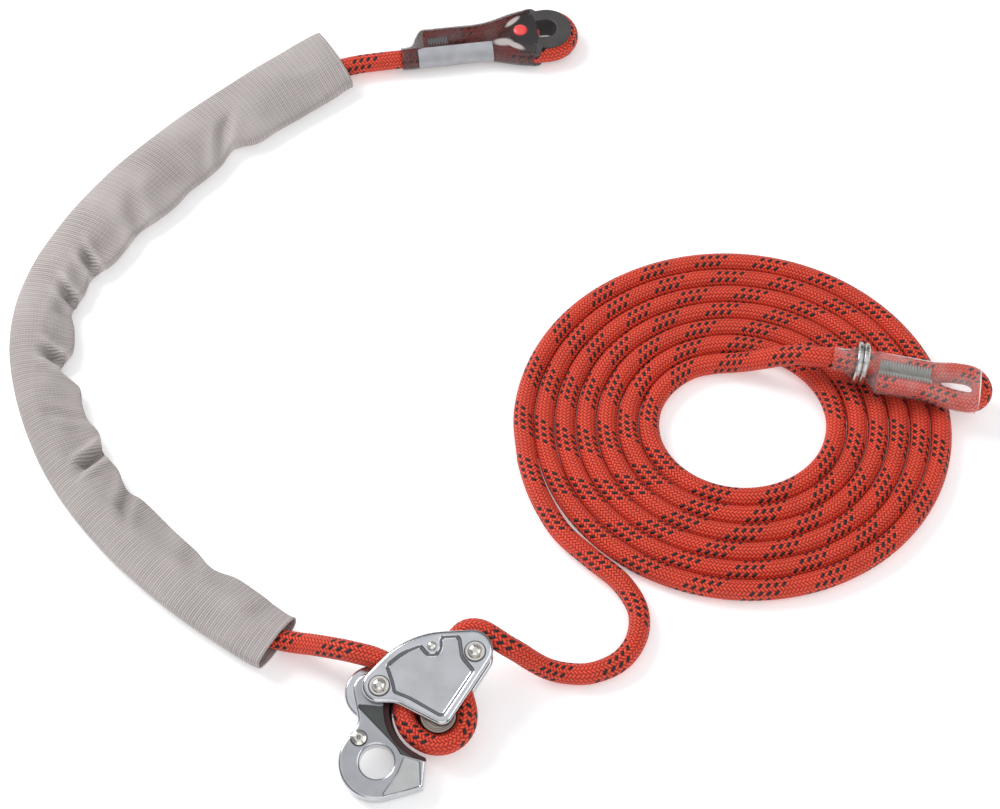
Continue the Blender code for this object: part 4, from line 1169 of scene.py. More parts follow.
@dataclass
class CamAdjuster:
    """Two contoured side plates, the cam arm between them, and their fasteners."""

    wardrobe: Wardrobe
    x: float = -0.0650
    y: float = -0.2230
    tilt: float = math.radians(14)
    plate: float = 0.003
    channel_back: float = 0.0051
    channel_front: float = 0.0186
    arm_back: float = 0.0066
    arm_front: float = 0.0171
    exit_pin: Point = (0.0527, 0.0195)
    guide_pin: Point = (0.0289, 0.0226)
    bollard: Point = (0.0325, -0.0155)
    arm_eye: Point = (-0.0011, -0.0413)
    arm_rivet: Point = (-0.0109, -0.0282)
    pin_bore: float = 0.0031
    guide_bore: float = 0.0019
    bore_edge: float = 0.0003
    front_edge: tuple = (0.0027, 0.0019)
    rear_edge: tuple = (0.0015, 0.0016)
    back_edge: float = 0.0006
    arm_edge: tuple = (0.0017, 0.0013)
    arm_back_edge: float = 0.0010
    arm_end: float = 0.0210
    seat_margin: float = 0.0013
    seat_levels: int = 8
    gusset_level: int = 5
    gusset_wall: float = 0.0009
    lip_wall: float = 0.0015
    panel_crease: float = 50
    arm_crease: float = 30
    ledge_height: float = 0.0024
    wall_spacing: float = 0.0004
    face_spacing: float = 0.0006
    painted_shade_radii: tuple = (0.0050, 0.0062)
    edge_steps: int = 4

    BROW = [((0.0346, -0.0154), 0.0062), ((0.0512, 0.0208), 0.0116), ((0.0379, -0.0194), 0.0510)]
    FRONT = [((0, 0.0006), 0.0098), ((0.0055, -0.0228), -0.0136)]
    REAR = [((-0.0040, 0.0003), 0.0160), ((0.0120, -0.0270), -0.0140)]
    ARM = [((0, 0), 0.0068), ((-0.0050, -0.0010), 0.0098), ((-0.0212, -0.0175), -0.0095),
           ((-0.0011, -0.0413), 0.0210), ((0.0229, -0.0542), 0.0018), ((0.0248, -0.0392), 0.0012),
           ((0.0324, -0.0114), -0.0272)]
    GUSSET = [((0.0129, -0.0362), 0.0014), ((0.0330, -0.0420), 0.0014), ((0.0340, -0.0060), 0.0014),
              ((0, 0), -0.0102), ((-0.0103, -0.0105), 0.0014), ((-0.0011, -0.0413), -0.0133)]
    POCKET = [((0.0036, -0.0592), 0.0012), ((0.0216, -0.0538), 0.0018), ((0.0208, -0.0424), 0.0022),
              ((0.0148, -0.0402), 0.0018), ((-0.0011, -0.0413), -0.0127)]
    LIP = [((0.0322, -0.0116), 0.0301), ((0.0326, -0.0112), 0.0301)]
    RIVET_WELL = [((-0.0110, -0.0282), 0.0047), ((-0.0108, -0.0282), 0.0047)]
    # How far each level of the arm's seat reaches in under the rope, from its back upwards,
    # and the angles between which that comes and goes
    LEDGE = (0.0024, 0.0018, 0.0014, 0.0010)
    LEDGE_TURN = (2.85, 3.1, 4.25, 4.42)
    # Inset and drop of each level of the panel's step; the third and fourth runs are its wall, which is
    # painted dark as painted shade
    PANEL_LEVELS = ((-0.0016, 0.0), (-0.0013, 0.00010), (-0.0010, 0.00042), (-0.0006, 0.00055),
                    (0.0002, 0.00085), (0.0005, 0.00125), (0.0008, 0.00128))
    PANEL_WALL = (2, 3)
    STAINLESS = ("pivot_rivet", "pivot_seat_ring", "exit_rivet", "exit_seat_ring", "guide_rivet",
                 "guide_spacer", "exit_spacer", "pivot_bush", "bollard_screw", "arm_rivet")

    def __post_init__(self) -> None:
        """Works out where the adjuster lies."""
        reach = -self.arm_eye[1] + self.arm_end
        height = reach * math.sin(self.tilt) - self.arm_back * math.cos(self.tilt)
        self.matrix = Matrix.Translation((self.x, self.y, height)) @ Matrix.Rotation(self.tilt, 4, "X")

    def point(self, u: float, v: float) -> Vector:
        """Returns a point halfway between the plates."""
        return self.matrix @ Vector((u, v, (self.channel_back + self.channel_front) / 2))

    @staticmethod
    def rounded(width: float, depth: float, steps: int = 6) -> list[tuple[float, float]]:
        """Returns insets and drops of a rounded edge, from its foot to its top."""
        turns = [math.pi / 2 * i / steps for i in range(steps + 1)]
        return [(width * (1 - math.cos(turn)), depth * (1 - math.sin(turn))) for turn in turns]

    def outline_solid(self, shape: Shape, discs: list[Disc], low: float, high: float,
                      edge: tuple[float, float], back: float) -> tuple[list[int], list[int]]:
        """Adds the rounded outer wall of a plate.

        Args:
            shape: the piece.
            discs: its outline.
            low: the height of its back.
            high: the height of its face.
            edge: width and depth of the rounding at the face.
            back: the rounding at the back.

        Returns:
            The rings at its face and at its back.
        """
        levels = [(inset, low + drop) for inset, drop in reversed(self.rounded(back, back, 3))]
        levels += [(inset, high - drop) for inset, drop in self.rounded(*edge)]
        rings = [shape.ring([(x, y, z) for x, y in belt(discs, inset)]) for inset, z in levels]
        shape.stack(rings)
        return rings[-1], rings[0]

    def bore(self, shape: Shape, centre: Point, radius: float, low: float, high: float, edge: float,
             steps: int = 40) -> tuple[list[int], list[int]]:
        """Adds the wall of a round hole.

        Args:
            shape: the piece.
            centre: the hole's centre.
            radius: its radius.
            low: the height of the piece's back.
            high: the height of its face.
            edge: the rounding at both ends.
            steps: its sides.

        Returns:
            The rings at the face and at the back.
        """
        levels = [(edge, high)]
        for i in range(1, self.edge_steps + 1):
            turn = math.pi / 2 * i / self.edge_steps
            levels.append((edge * (1 - math.sin(turn)), high - edge * (1 - math.cos(turn))))
        levels += [(out, low + (high - z)) for out, z in reversed(levels)]
        rings = shape.turned(centre, [(radius + out, z) for out, z in levels], steps)
        shape.stack(rings)
        return rings[0], rings[-1]

    def side_plate(self, name: str, discs: list[Disc], low: float, panel: bool) -> Item:
        """Builds a side plate.

        Args:
            name: the piece's name.
            discs: its outline.
            low: the height of its back.
            panel: whether its face has the sunken panel.

        Returns:
            The plate.
        """
        high = low + self.plate
        shape = Shape(name)
        edge = self.front_edge if panel else self.rear_edge
        face, back = self.outline_solid(shape, discs, low, high, edge, self.back_edge)
        faces, backs = [face], [back]
        for centre, radius in (((0, 0), self.pin_bore), (self.exit_pin, self.pin_bore),
                               (self.guide_pin, self.guide_bore)):
            top, bottom = self.bore(shape, centre, radius, low, high, self.bore_edge, 32)
            faces.append(top)
            backs.append(bottom)
        if panel:
            faces.append(self.sunken_panel(shape, high))
        shape.fill(faces)
        shape.fill(backs, flipped=True)
        plate = shape.make([self.wardrobe.rim, self.wardrobe.panel, self.wardrobe.wall], self.matrix)
        return settle(plate, self.panel_crease)

    def sunken_panel(self, shape: Shape, high: float) -> list[int]:
        """Adds the panel's sloping wall and its floor.

        Args:
            shape: the plate.
            high: the height of its face.

        Returns:
            The ring at the face.
        """
        discs = [((0.0340, -0.0133), 0.0024), ((0.0494, 0.0086), 0.0015), (self.exit_pin, -0.0080),
                 ((0.0414, 0.0254), 0.0024), ((0.0360, 0.0258), 0.0017), (self.guide_pin, -0.0054),
                 ((0.0218, 0.0208), 0.0012), ((0.0284, -0.0071), 0.0295), ((0.0062, 0.0108), 0.0014),
                 ((0, 0), -0.0080), ((0.0102, -0.0018), 0.0016), ((0.0042, -0.0321), -0.0288)]
        rings = [shape.ring([(x, y, high - drop) for x, y in belt(discs, inset)])
                 for inset, drop in self.PANEL_LEVELS]
        for k, (first, second) in enumerate(zip(rings, rings[1:])):
            shape.bridge(first, second, PlateMetal.WALL_SHADE if k in self.PANEL_WALL else PlateMetal.RIM)
        shape.fill([rings[-1]], finish=PlateMetal.PANEL)
        return rings[0]

    def cam_arm(self) -> Item:
        """Builds the forged cam arm, its face sunk in two places.

        Returns:
            The arm.
        """
        # The lip's floor beside the rope takes the seat's painted shade.
        hollows = [Hollow(self.GUSSET, 0.0013, 0.0007, ArmMetal.GUSSET),
                   Hollow(self.POCKET, 0.0009, 0.0007, ArmMetal.POCKET),
                   Hollow(self.RIVET_WELL, 0.0005, 0.0003, ArmMetal.GUSSET),
                   Hollow(self.LIP, 0.0042, 0.0006, ArmMetal.SEAT_SHADE)]
        shape = Shape("forged_arm")
        low, high, foot = self.arm_back, self.arm_front, self.arm_back_edge
        levels = [(inset, low + drop) for inset, drop in reversed(self.rounded(foot, foot, 3))]
        levels.append((0.0, low + self.ledge_height))
        levels += [(inset, high - drop) for inset, drop in self.rounded(*self.arm_edge)]
        seat, reach = self.ARM[-1][0], self.seat_margin - self.ARM[-1][1]
        ledges = self.LEDGE + (0.0,) * (len(levels) - len(self.LEDGE))
        flats = [self.with_ledge(dense_belt(self.ARM, inset, self.wall_spacing), seat, reach, ledge)
                 for (inset, _), ledge in zip(levels, ledges)]
        rings = [shape.ring([(x, y, min(z, high - self.sink((x, y), hollows))) for x, y in flat])
                 for flat, (_, z) in zip(flats, levels)]
        for k, (first, second) in enumerate(zip(rings, rings[1:])):
            for i, spot in enumerate(flats[k]):
                n = (i + 1) % len(first)
                finish = self.wall_metal(k, spot, flats[k + 1][i], reach, hollows)
                shape.face((first[i], first[n], second[n], second[i]), finish)
        backs, edges = [rings[0]], [flats[-1]]
        for centre, radius, edge in (((0, 0), 0.0041, 0.0004), (self.arm_eye, 0.0095, 0.0014),
                                     (self.arm_rivet, 0.0027, 0.0003)):
            backs.append(self.bore(shape, centre, radius, low, high, edge, 64)[1])
            edges.append(circle(centre, radius + edge, 64))
        shape.fill(backs, ArmMetal.FACE, flipped=True)
        self.sunk_face(shape, edges, hollows)
        finishes = [self.wardrobe.rim, self.wardrobe.arm_face, self.wardrobe.gusset,
                    self.wardrobe.pocket, self.wardrobe.seat]
        arm = settle(shape.make(finishes, self.matrix), self.arm_crease)
        step = arm.modifiers.new("weights", "WEIGHTED_NORMAL")
        step.keep_sharp = True
        return arm

    def wall_metal(self, level: int, low_spot: Point, high_spot: Point, reach: float,
                   hollows: list[Hollow]) -> ArmMetal:
        """Chooses the finish of one face of the arm's outer wall.

        Args:
            level: how many levels lie under it.
            low_spot: its lower corner.
            high_spot: its upper corner.
            reach: how near to the seat's centre the rope touches.
            hollows: what is sunk into the arm's face.

        Returns:
            The finish.
        """
        # The lip's walls and the wall faces beside the rope take the seat's painted shade.
        if self.sink(high_spot, hollows[3:]) > self.lip_wall:
            return ArmMetal.SEAT_SHADE
        if level > self.gusset_level and self.sink(high_spot, hollows[:1]) > self.gusset_wall:
            return ArmMetal.GUSSET
        if level < self.seat_levels and math.dist(low_spot, self.ARM[-1][0]) < reach:
            return ArmMetal.SEAT_SHADE
        return ArmMetal.RIM

    def with_ledge(self, outline: list[Point], seat: Point, reach: float, ledge: float) -> list[Point]:
        """Moves an outline's points along the rope's seat towards its centre, under the rope.

        Args:
            outline: the outline.
            seat: the centre of the rope's seat.
            reach: how near to it the moved points lie.
            ledge: how far they move.

        Returns:
            The new outline.
        """
        out = []
        first, full_from, full_to, last = self.LEDGE_TURN
        for point in outline:
            gone = math.dist(point, seat)
            angle = math.atan2(point[1] - seat[1], point[0] - seat[0]) % math.tau
            full = ease(first, full_from, angle) * (1 - ease(full_to, last, angle)) if gone < reach else 0.0
            share = 1 - ledge * full / gone
            out.append((seat[0] + (point[0] - seat[0]) * share, seat[1] + (point[1] - seat[1]) * share))
        return out

    @staticmethod
    def sink(spot: Point, hollows: list[Hollow]) -> float:
        """Returns how far the arm's face is sunk at a place."""
        return max(hollow.drop(spot) for hollow in hollows)

    def sunk_face(self, shape: Shape, edges: list[list[Point]], hollows: list[Hollow]) -> None:
        """Adds the arm's face between its edges.

        Args:
            shape: the arm.
            edges: the outline, then the holes.
            hollows: what is sunk into it.
        """
        loops = edges + [dense_belt(hollow.discs, hollow.wall * share, self.face_spacing)
                         for hollow in hollows for share in (0.0, 0.5, 1.0)]
        places = [Vector(point) for loop in loops for point in loop]
        runs, start = [], 0
        for loop in loops:
            runs += [(start + i, start + (i + 1) % len(loop)) for i in range(len(loop))]
            start += len(loop)
        spots, _, faces, *_ = delaunay_2d_cdt(places, runs, [], 0, 1e-7)
        numbers = shape.ring([(spot.x, spot.y, self.arm_front - self.sink(spot, hollows)) for spot in spots])
        for face in faces:
            middle = sum((spots[i] for i in face), Vector((0, 0))) / len(face)
            if not inside(middle, edges[0]) or any(inside(middle, edge) for edge in edges[1:]):
                continue
            finish = ArmMetal.FACE
            for hollow in hollows:
                finish = hollow.finish_at(middle, finish)
            depths = [self.sink(spots[i], hollows) for i in face]
            level = max(depths) - min(depths) < MERGE_DISTANCE
            shape.face(tuple(numbers[i] for i in face), finish, flat=level)

    def rivet_hollow_shade(self) -> Item:
        """Builds the painted shade in the arm rivet's hollow head, with the bright pip at its bottom.

        Returns:
            The piece.
        """
        high = self.arm_front + 0.0016 + FIT_GAP
        shape = Shape("rivet_hollow_shade")
        profile = ((0.0021, high - 0.0012), (0.0017, high + 0.0001), (0.0014, high + 0.0001),
                   (0.0010, high - 0.0002), (0.0004, high - 0.0002))
        rings = shape.turned(self.arm_rivet, profile, 24)
        shape.stack(rings[:3])
        # The hollow's wall and floor take the painted shade.
        shape.stack(rings[2:], 1)
        shape.face(tuple(rings[-1]))
        shape.face(tuple(reversed(rings[0])))
        return settle(shape.make([self.wardrobe.stainless, self.wardrobe.painted_shade], self.matrix), 30)

    def painted_shade(self, name: str, centre: Point) -> Item:
        """Builds a ring of painted shade on the plate round a seat ring.

        Args:
            name: the piece's name.
            centre: the pin's centre.

        Returns:
            The piece.
        """
        high, (inner, outer) = self.channel_front + self.plate, self.painted_shade_radii
        foot, top = high + 0.00003, high + 0.0003
        shape = Shape(name)
        rings = shape.turned(centre, ((outer, foot), (outer - 0.0003, top), (inner, top), (inner, foot)))
        shape.stack(rings + rings[:1])
        return settle(shape.make([self.wardrobe.painted_shade], self.matrix))

    def spool(self) -> Item:
        """Builds the turned bollard, its front face stepped.

        Returns:
            The bollard.
        """
        low, high = self.channel_back + FIT_GAP, self.channel_front - FIT_GAP
        profile = [(0.0028, low + 0.0100), (0.0028, low), (0.0119, low), (0.0122, low + 0.0003),
                   (0.0122, low + 0.0010), (0.0090, low + 0.0024), (0.0090, high - 0.0024),
                   (0.0099, high - 0.0012), (0.0099, high - 0.0003), (0.0096, high), (0.0088, high),
                   (0.0085, high - 0.0004), (0.0078, high - 0.0004), (0.0075, high - 0.0009),
                   (0.0062, high - 0.0009), (0.0059, high - 0.0005), (0.0028, high - 0.0005)]
        shape = Shape("turned_bollard")
        rings = shape.turned(self.bollard, profile, 64)
        shape.stack(rings)
        for ring in (rings[0], rings[-1]):
            shape.face(tuple(ring))
        return settle(shape.make([self.wardrobe.bollard], self.matrix), 25)

    def build(self) -> None:
        """Builds the adjuster and dresses its fasteners."""
        front = self.side_plate("contoured_front_plate", self.FRONT + self.BROW, self.channel_front,
                                True)
        rear = self.side_plate("contoured_rear_plate", self.REAR + self.BROW,
                               self.channel_back - self.plate, False)
        arm = self.cam_arm()
        hand_in(front, Body.LANYARD, "front_plate")
        hand_in(rear, Body.LANYARD, "rear_plate")
        hand_in(arm, Body.ARM, "cam_arm")
        for node in self.STAINLESS:
            dress(node, self.wardrobe.stainless)
        hand_in(self.spool(), Body.LANYARD, "bollard")
        # Rings of painted shade round the pivot's and the exit pin's seat rings.
        for name, centre in (("pivot_painted_shade", (0, 0)), ("exit_painted_shade", self.exit_pin)):
            hand_in(self.painted_shade(name, centre), Body.LANYARD)
        hand_in(self.rivet_hollow_shade(), Body.ARM)
        dress("arm_washer_front", self.wardrobe.washer)
        dress("arm_washer_rear", self.wardrobe.washer)


def dress(node: str, finish: Material, crease: float = 35) -> None:
    """Gives a CAD node a finish and smooth shading.

    Args:
        node: its name.
        finish: its material.
        crease: the angle in degrees past which an edge stays sharp.
    """
    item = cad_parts[node]
    item.data.materials.clear()
    item.data.materials.append(finish)
    item.data.shade_smooth()
    item.data.set_sharp_from_angle(angle=math.radians(crease))


# Shrunk films
@dataclass
class FilmSkin:
    """A film drawn round two rope legs.

    Its stations hold the place along, the middle, half the width, half the height, and how
    far the film sinks between the legs there, as a share.
    """

    stations: list
    squareness: float
    valley: float
    valley_width: float
    raised: float = 0.0
    bulge: float = 0.0
    lowest: float = 0.0100
    around: int = 48
    flatness: float = 1.9
    mouth: float = 0.010
    patch_steps: int = 16
    patch_wall: float = 0.00015

    def __post_init__(self) -> None:
        """Smooths the stations."""
        self.line = smooth_route([(s, m, w) for s, m, w, _, _ in self.stations], 6)
        self.heights = smooth_route([(s, h, d) for s, _, _, h, d in self.stations], 6)

    def point(self, number: int, angle: float) -> Vector:
        """Finds a point of the skin.

        Args:
            number: the station's number.
            angle: the angle round the skin.

        Returns:
            The point.
        """
        s, middle, wide = self.line[number]
        _, tall, dip = self.heights[number]
        wide, tall = wide + self.raised, tall + self.raised
        turned, rise = math.cos(angle), math.sin(angle)
        across = max(0.0, wide - tall) * max(-1.0, min(1.0, self.flatness * turned)) + tall * turned
        up = max(-self.lowest, tall * math.copysign(abs(rise) ** self.squareness, rise))
        sunk = 1 - self.valley * dip * math.exp(-(across / self.valley_width) ** 2)
        mouth = self.bulge * ease(self.line[-1].x - self.mouth, self.line[-1].x, s)
        return Vector((s + mouth * (1 - (across / wide) ** 2), middle + across, up * sunk))

    def lay(self, name: str, rows: list[int], angles: list[float], closed: bool, finish: Material,
            matrix: Matrix, wall: float) -> Item:
        """Lays the skin over chosen stations and angles.

        Args:
            name: the piece's name.
            rows: the stations.
            angles: the angles round the skin.
            closed: whether it closes on itself.
            finish: its material.
            matrix: where its frame lies.
            wall: its thickness.

        Returns:
            The piece.
        """
        shape = Shape(name)
        rings = [shape.ring([self.point(row, angle) for angle in angles]) for row in rows]
        for first, second in zip(rings, rings[1:]):
            for i in range(len(angles) if closed else len(angles) - 1):
                n = (i + 1) % len(angles)
                corners = (first[i], first[n], second[n], second[i])
                shape.face(corners, uv=[(shape.points[c].x, shape.points[c].y) for c in corners])
        return settle(thicken(shape.make([finish], matrix), wall), 60)

    def build(self, name: str, finish: Material, matrix: Matrix, wall: float) -> Item:
        """Builds the whole skin."""
        angles = [math.tau * k / self.around for k in range(self.around)]
        return self.lay(name, list(range(len(self.line))), angles, True, finish, matrix, wall)

    def patch(self, name: str, reach: tuple[float, float], turn: tuple[float, float],
              finish: Material, matrix: Matrix) -> Item:
        """Builds a thin piece laid on the skin.

        Args:
            name: the piece's name.
            reach: the two places along that it lies between.
            turn: the two angles that it lies between.
            finish: its material.
            matrix: where its frame lies.

        Returns:
            The piece.
        """
        rows = [i for i, spot in enumerate(self.line) if reach[0] <= spot.x <= reach[1]]
        angles = [turn[0] + (turn[1] - turn[0]) * k / self.patch_steps for k in range(self.patch_steps + 1)]
        return self.lay(name, rows, angles, False, finish, matrix, self.patch_wall)


# Thimble eye
@dataclass
class ThimbleEye:
    """The moulded thimble, its keeper, the smoky cover with its label, and the stitching."""

    wardrobe: Wardrobe
    x: float = 0.0320
    y: float = 0.2663
    turn: float = math.radians(8)
    loop: float = 0.0148
    spread: float = 0.0070
    half: float = 0.0080
    nose: float = 0.0173
    cover_start: float = -0.0965
    flare_end: float = -0.0815
    rope_end: float = -0.0800
    lug_start: float = 0.0150
    lug_back: float = -0.0030
    lug_middle: float = -0.0073
    lug_shift: float = -0.0024
    lug_length: float = 0.55
    lug_taper: float = 90
    lug_slope: float = 34
    lug_draw: float = 0.34
    eye_ends: tuple = (-0.0032, 0.0004)
    eye_reach: float = 0.0074
    eye_widening: float = 1.13
    tack_height: float = 0.0062

    LEG = ((3.6, 0), (2.6, 0), (1.8, 0.31), (1, 0.86), (0.5, 0.98))
    STATIONS = [
        (-0.0965, -0.0070, 0.0072, 0.0072, 0.0), (-0.0930, -0.0070, 0.0072, 0.0072, 0.0),
        (-0.0895, -0.0066, 0.0078, 0.0073, 0.0), (-0.0860, -0.0030, 0.0112, 0.0074, 0.1),
        (-0.0820, -0.0002, 0.0139, 0.0073, 0.35), (-0.0760, 0.0, 0.0141, 0.0072, 0.7),
        (-0.0600, 0.0, 0.0141, 0.0072, 0.8), (-0.0450, 0.0, 0.0141, 0.0072, 0.8),
        (-0.0370, 0.0, 0.0152, 0.0075, 0.6), (-0.0290, 0.0, 0.0175, 0.0080, 0.3),
        (-0.0210, 0.0, 0.0200, 0.0083, 0.1), (-0.0150, 0.0, 0.0212, 0.0085, 0.0),
        (-0.0112, 0.0, 0.0216, 0.0086, 0.0),
    ]

    def __post_init__(self) -> None:
        """Works out where the eye lies."""
        self.matrix = Matrix.Translation((self.x, self.y, self.half)) @ Matrix.Rotation(self.turn, 4, "Z")

    def route(self) -> list[Vector]:
        """Draws the rope's line round the eye, from the cover's collar.

        Returns:
            The line.
        """
        widening = self.loop - self.spread
        lower = [(self.cover_start, -self.spread), (self.flare_end, -self.spread)]
        lower += [(-self.nose * along, -self.spread - widening * out) for along, out in self.LEG]
        arc = [(self.loop * math.sin(angle), -self.loop * math.cos(angle))
               for angle in [math.pi * i / 12 for i in range(13)]]
        upper = [(s, -t) for s, t in reversed(lower)]
        upper[-1] = (self.rope_end, self.spread)
        return smooth_route([(s, t, 0) for s, t in lower + arc + upper])

    def cover(self) -> Item:
        """Builds the smoky cover, drawn in between the rope's legs.

        Returns:
            The cover.
        """
        skin = FilmSkin(self.STATIONS, 0.85, 0.30, 0.0032, bulge=0.0050, lowest=0.0079)
        return skin.build("smoky_cover", self.wardrobe.smoke, self.matrix, 0.0005)

    def label(self) -> Item:
        """Builds the silver label, laid over the cover's front.

        Returns:
            The label.
        """
        skin = FilmSkin(self.STATIONS, 0.85, 0.0, 0.0032, 0.0003)
        turn = (math.radians(106), math.radians(196))
        return skin.patch("printed_label", (-0.0862, -0.0362), turn, self.wardrobe.label, self.matrix)

    def thimble(self) -> Item:
        """Builds the moulded thimble, its lugs rounded off and its eye opened.

        Returns:
            The thimble.
        """
        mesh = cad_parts["thimble"].data.copy()
        mesh.name = "moulded_thimble"
        back = self.matrix.inverted()
        for vertex in mesh.vertices:
            spot = back @ vertex.co
            beyond = max(0.0, abs(spot.y) - self.lug_start)
            lug = ease(0.0, 0.0015, beyond) if spot.x < self.lug_back else 0.0
            stretch = self.lug_length - self.lug_taper * beyond
            spot.x += lug * (self.lug_shift + (spot.x - self.lug_middle) * stretch)
            spot.z *= 1 - lug * self.lug_slope * beyond
            spot.y -= math.copysign(self.lug_draw * beyond * lug, spot.y)
            inner = max(self.eye_ends[0], min(self.eye_ends[1], spot.x))
            if math.hypot(spot.x - inner, spot.y) < self.eye_reach:
                spot.y *= self.eye_widening
            vertex.co = self.matrix @ spot
        mesh.materials.clear()
        mesh.materials.append(self.wardrobe.thimble)
        return settle(add_object("moulded_thimble", mesh))

    def button(self) -> Item:
        """Builds the keeper's button, which stands through the cover.

        Returns:
            The button.
        """
        shape = Shape("keeper_button")
        profile = ((0.0046, 0.0062), (0.0046, 0.0084), (0.0044, 0.0088), (0.0036, 0.0093),
                   (0.0024, 0.0096), (0.0010, 0.0097))
        rings = shape.turned((-self.nose, 0), profile, 32)
        shape.stack(rings)
        shape.face(tuple(rings[-1]))
        shape.face(tuple(reversed(rings[0])))
        return settle(shape.make([self.wardrobe.keeper], self.matrix), 50)

    def stitch_height(self, _along: float, across: float) -> float:
        """Returns how high the stitching's thread lies at a place."""
        return self.tack_height - 0.5 * abs(across) * abs(across) / (2 * ROPE_RADIUS)

    def build(self) -> None:
        """Builds the eye and dresses its nodes."""
        hand_in(self.cover(), Body.LANYARD, "eye_cover")
        stitches = sewn_block("eye_bar_tack", self.matrix, -0.0785, 0.0130, 0.0062, 7, 0.0004,
                              self.stitch_height, self.wardrobe.dark_thread)
        hand_in(stitches, Body.LANYARD, "eye_stitching")
        hand_in(self.button(), Body.LANYARD)
        hand_in(self.thimble(), Body.LANYARD, "thimble")
        dress("connector_keeper", self.wardrobe.keeper)
        hand_in(self.label(), Body.LANYARD, "eye_label")


def sewn_block(name: str, matrix: Matrix, start: float, length: float, half: float, count: int,
               radius: float, height: Callable[[float, float], float],
               finish: Material) -> Item:
    """Builds a block of zigzag stitching across the rope's legs.

    Args:
        name: the piece's name.
        matrix: where its frame lies.
        start: where it starts along the rope.
        length: how long it is.
        half: half its width.
        count: how many threads cross.
        radius: the thread's radius.
        height: the height of the thread's middle at a place.
        finish: the thread's material.

    Returns:
        The stitching.
    """
    shape = Shape(name)
    corners = [(start + length * i / (count * 2), half if i % 2 else -half) for i in range(count * 2 + 1)]
    line = []
    for (x0, y0), (x1, y1) in zip(corners, corners[1:]):
        for share in (k / THREAD_STEPS for k in range(THREAD_STEPS)):
            line.append(Vector((x0 + (x1 - x0) * share, y0 + (y1 - y0) * share, 0)))
    line.append(Vector((*corners[-1], 0)))
    for spot in line:
        spot.z = height(spot.x, spot.y)
    turns = [math.tau * k / THREAD_SIDES for k in range(THREAD_SIDES)]
    rings, gone = [], [0.0]
    for i, spot in enumerate(line):
        after = line[min(i + 1, len(line) - 1)]
        ahead = (after - line[max(i - 1, 0)]).normalized()
        up = (Vector((0, 0, 1)) - ahead * ahead.z).normalized()
        side = ahead.cross(up)
        rings.append(shape.ring([spot + radius * (up * math.cos(turn) + side * math.sin(turn))
                                 for turn in turns]))
        gone.append(gone[-1] + (after - spot).length)
    shape.tube(rings, gone)
    shape.face(tuple(rings[0][::-1]), flat=True)
    shape.face(tuple(rings[-1]), flat=True)
    return shape.make([finish], matrix)


# Stopper end
@dataclass
class StopperEnd:
    """The doubled, sewn rope end under clear film, with its two steel rings."""

    wardrobe: Wardrobe
    x: float = 0.2160
    y: float = -0.0132
    turn: float = math.radians(-8.6)
    slope: float = math.radians(6)
    ring_radius: float = 0.0130
    offset: float = 0.0040
    spread: float = 0.0064
    loop: float = 0.0098
    start: float = -0.0170
    double: float = 0.0150
    loop_place: float = 0.0644
    rope_end: float = 0.0110

    LEG = ((0, 0), (0.48, 0.02), (0.62, 0.34), (0.80, 0.86))
    STATIONS = [
        (-0.0170, 0.0040, 0.0071, 0.0071, 0.0), (-0.0095, 0.0040, 0.0072, 0.0072, 0.0),
        (-0.0060, 0.0040, 0.0088, 0.0088, 0.0), (-0.0042, 0.0040, 0.0096, 0.0096, 0.0),
        (0.0042, 0.0040, 0.0096, 0.0096, 0.0), (0.0070, 0.0022, 0.0112, 0.0080, 0.2),
        (0.0105, 0.0, 0.0134, 0.0074, 0.4), (0.0200, 0.0, 0.0134, 0.0073, 0.8),
        (0.0300, 0.0, 0.0134, 0.0073, 0.8), (0.0420, 0.0, 0.0136, 0.0073, 0.8),
        (0.0480, 0.0, 0.0150, 0.0073, 0.7), (0.0560, 0.0, 0.0165, 0.0072, 0.5),
        (0.0644, 0.0, 0.0169, 0.0071, 0.3), (0.0690, 0.0, 0.0164, 0.0071, 0.2),
        (0.0720, 0.0, 0.0154, 0.0071, 0.1),
    ]

    def __post_init__(self) -> None:
        """Works out where the end lies."""
        height = 2 * ROPE_RADIUS + self.ring_radius + 0.0006
        self.matrix = (Matrix.Translation((self.x, self.y, height))
                       @ Matrix.Rotation(self.turn, 4, "Z") @ Matrix.Rotation(self.slope, 4, "Y"))

    def route(self) -> list[Vector]:
        """Draws the rope's line through the collar, round the loop and back.

        Returns:
            The line.
        """
        length = self.loop_place - self.double
        leg = [(self.double + length * along, self.spread + (self.loop - self.spread) * out)
               for along, out in self.LEG]
        arc = [(self.loop_place + self.loop * math.sin(angle), self.loop * math.cos(angle))
               for angle in [math.pi * i / 10 for i in range(11)]]
        back = [(x, -y) for x, y in reversed(leg)]
        collar = [(self.start, self.offset), (0, self.offset)]
        places = collar + leg + arc + back + [(self.rope_end, -self.spread)]
        return smooth_route([(x, y, 0) for x, y in places])

    def film(self) -> Item:
        """Builds the clear film.

        Returns:
            The film.
        """
        skin = FilmSkin(self.STATIONS, 0.9, 0.16, 0.0030)
        return skin.build("shrunk_film", self.wardrobe.clear, self.matrix, 0.0004)

    def stitch_height(self, _along: float, across: float) -> float:
        """Returns how high the stitching's thread lies at a place."""
        return math.sqrt(max(0.0, ROPE_RADIUS ** 2 - (abs(across) - self.spread) ** 2)) + 0.0005

    def build(self) -> None:
        """Builds the end and dresses its rings."""
        hand_in(self.film(), Body.LANYARD, "end_cover")
        block = sewn_block("end_bar_tack", self.matrix, 0.0110, 0.0310, 0.0054, 18, 0.00072,
                           self.stitch_height, self.wardrobe.thread)
        hand_in(block, Body.LANYARD, "end_stitching")
        dress("stop_ring_1", self.wardrobe.ring_steel, 60)
        dress("stop_ring_2", self.wardrobe.ring_steel, 60)


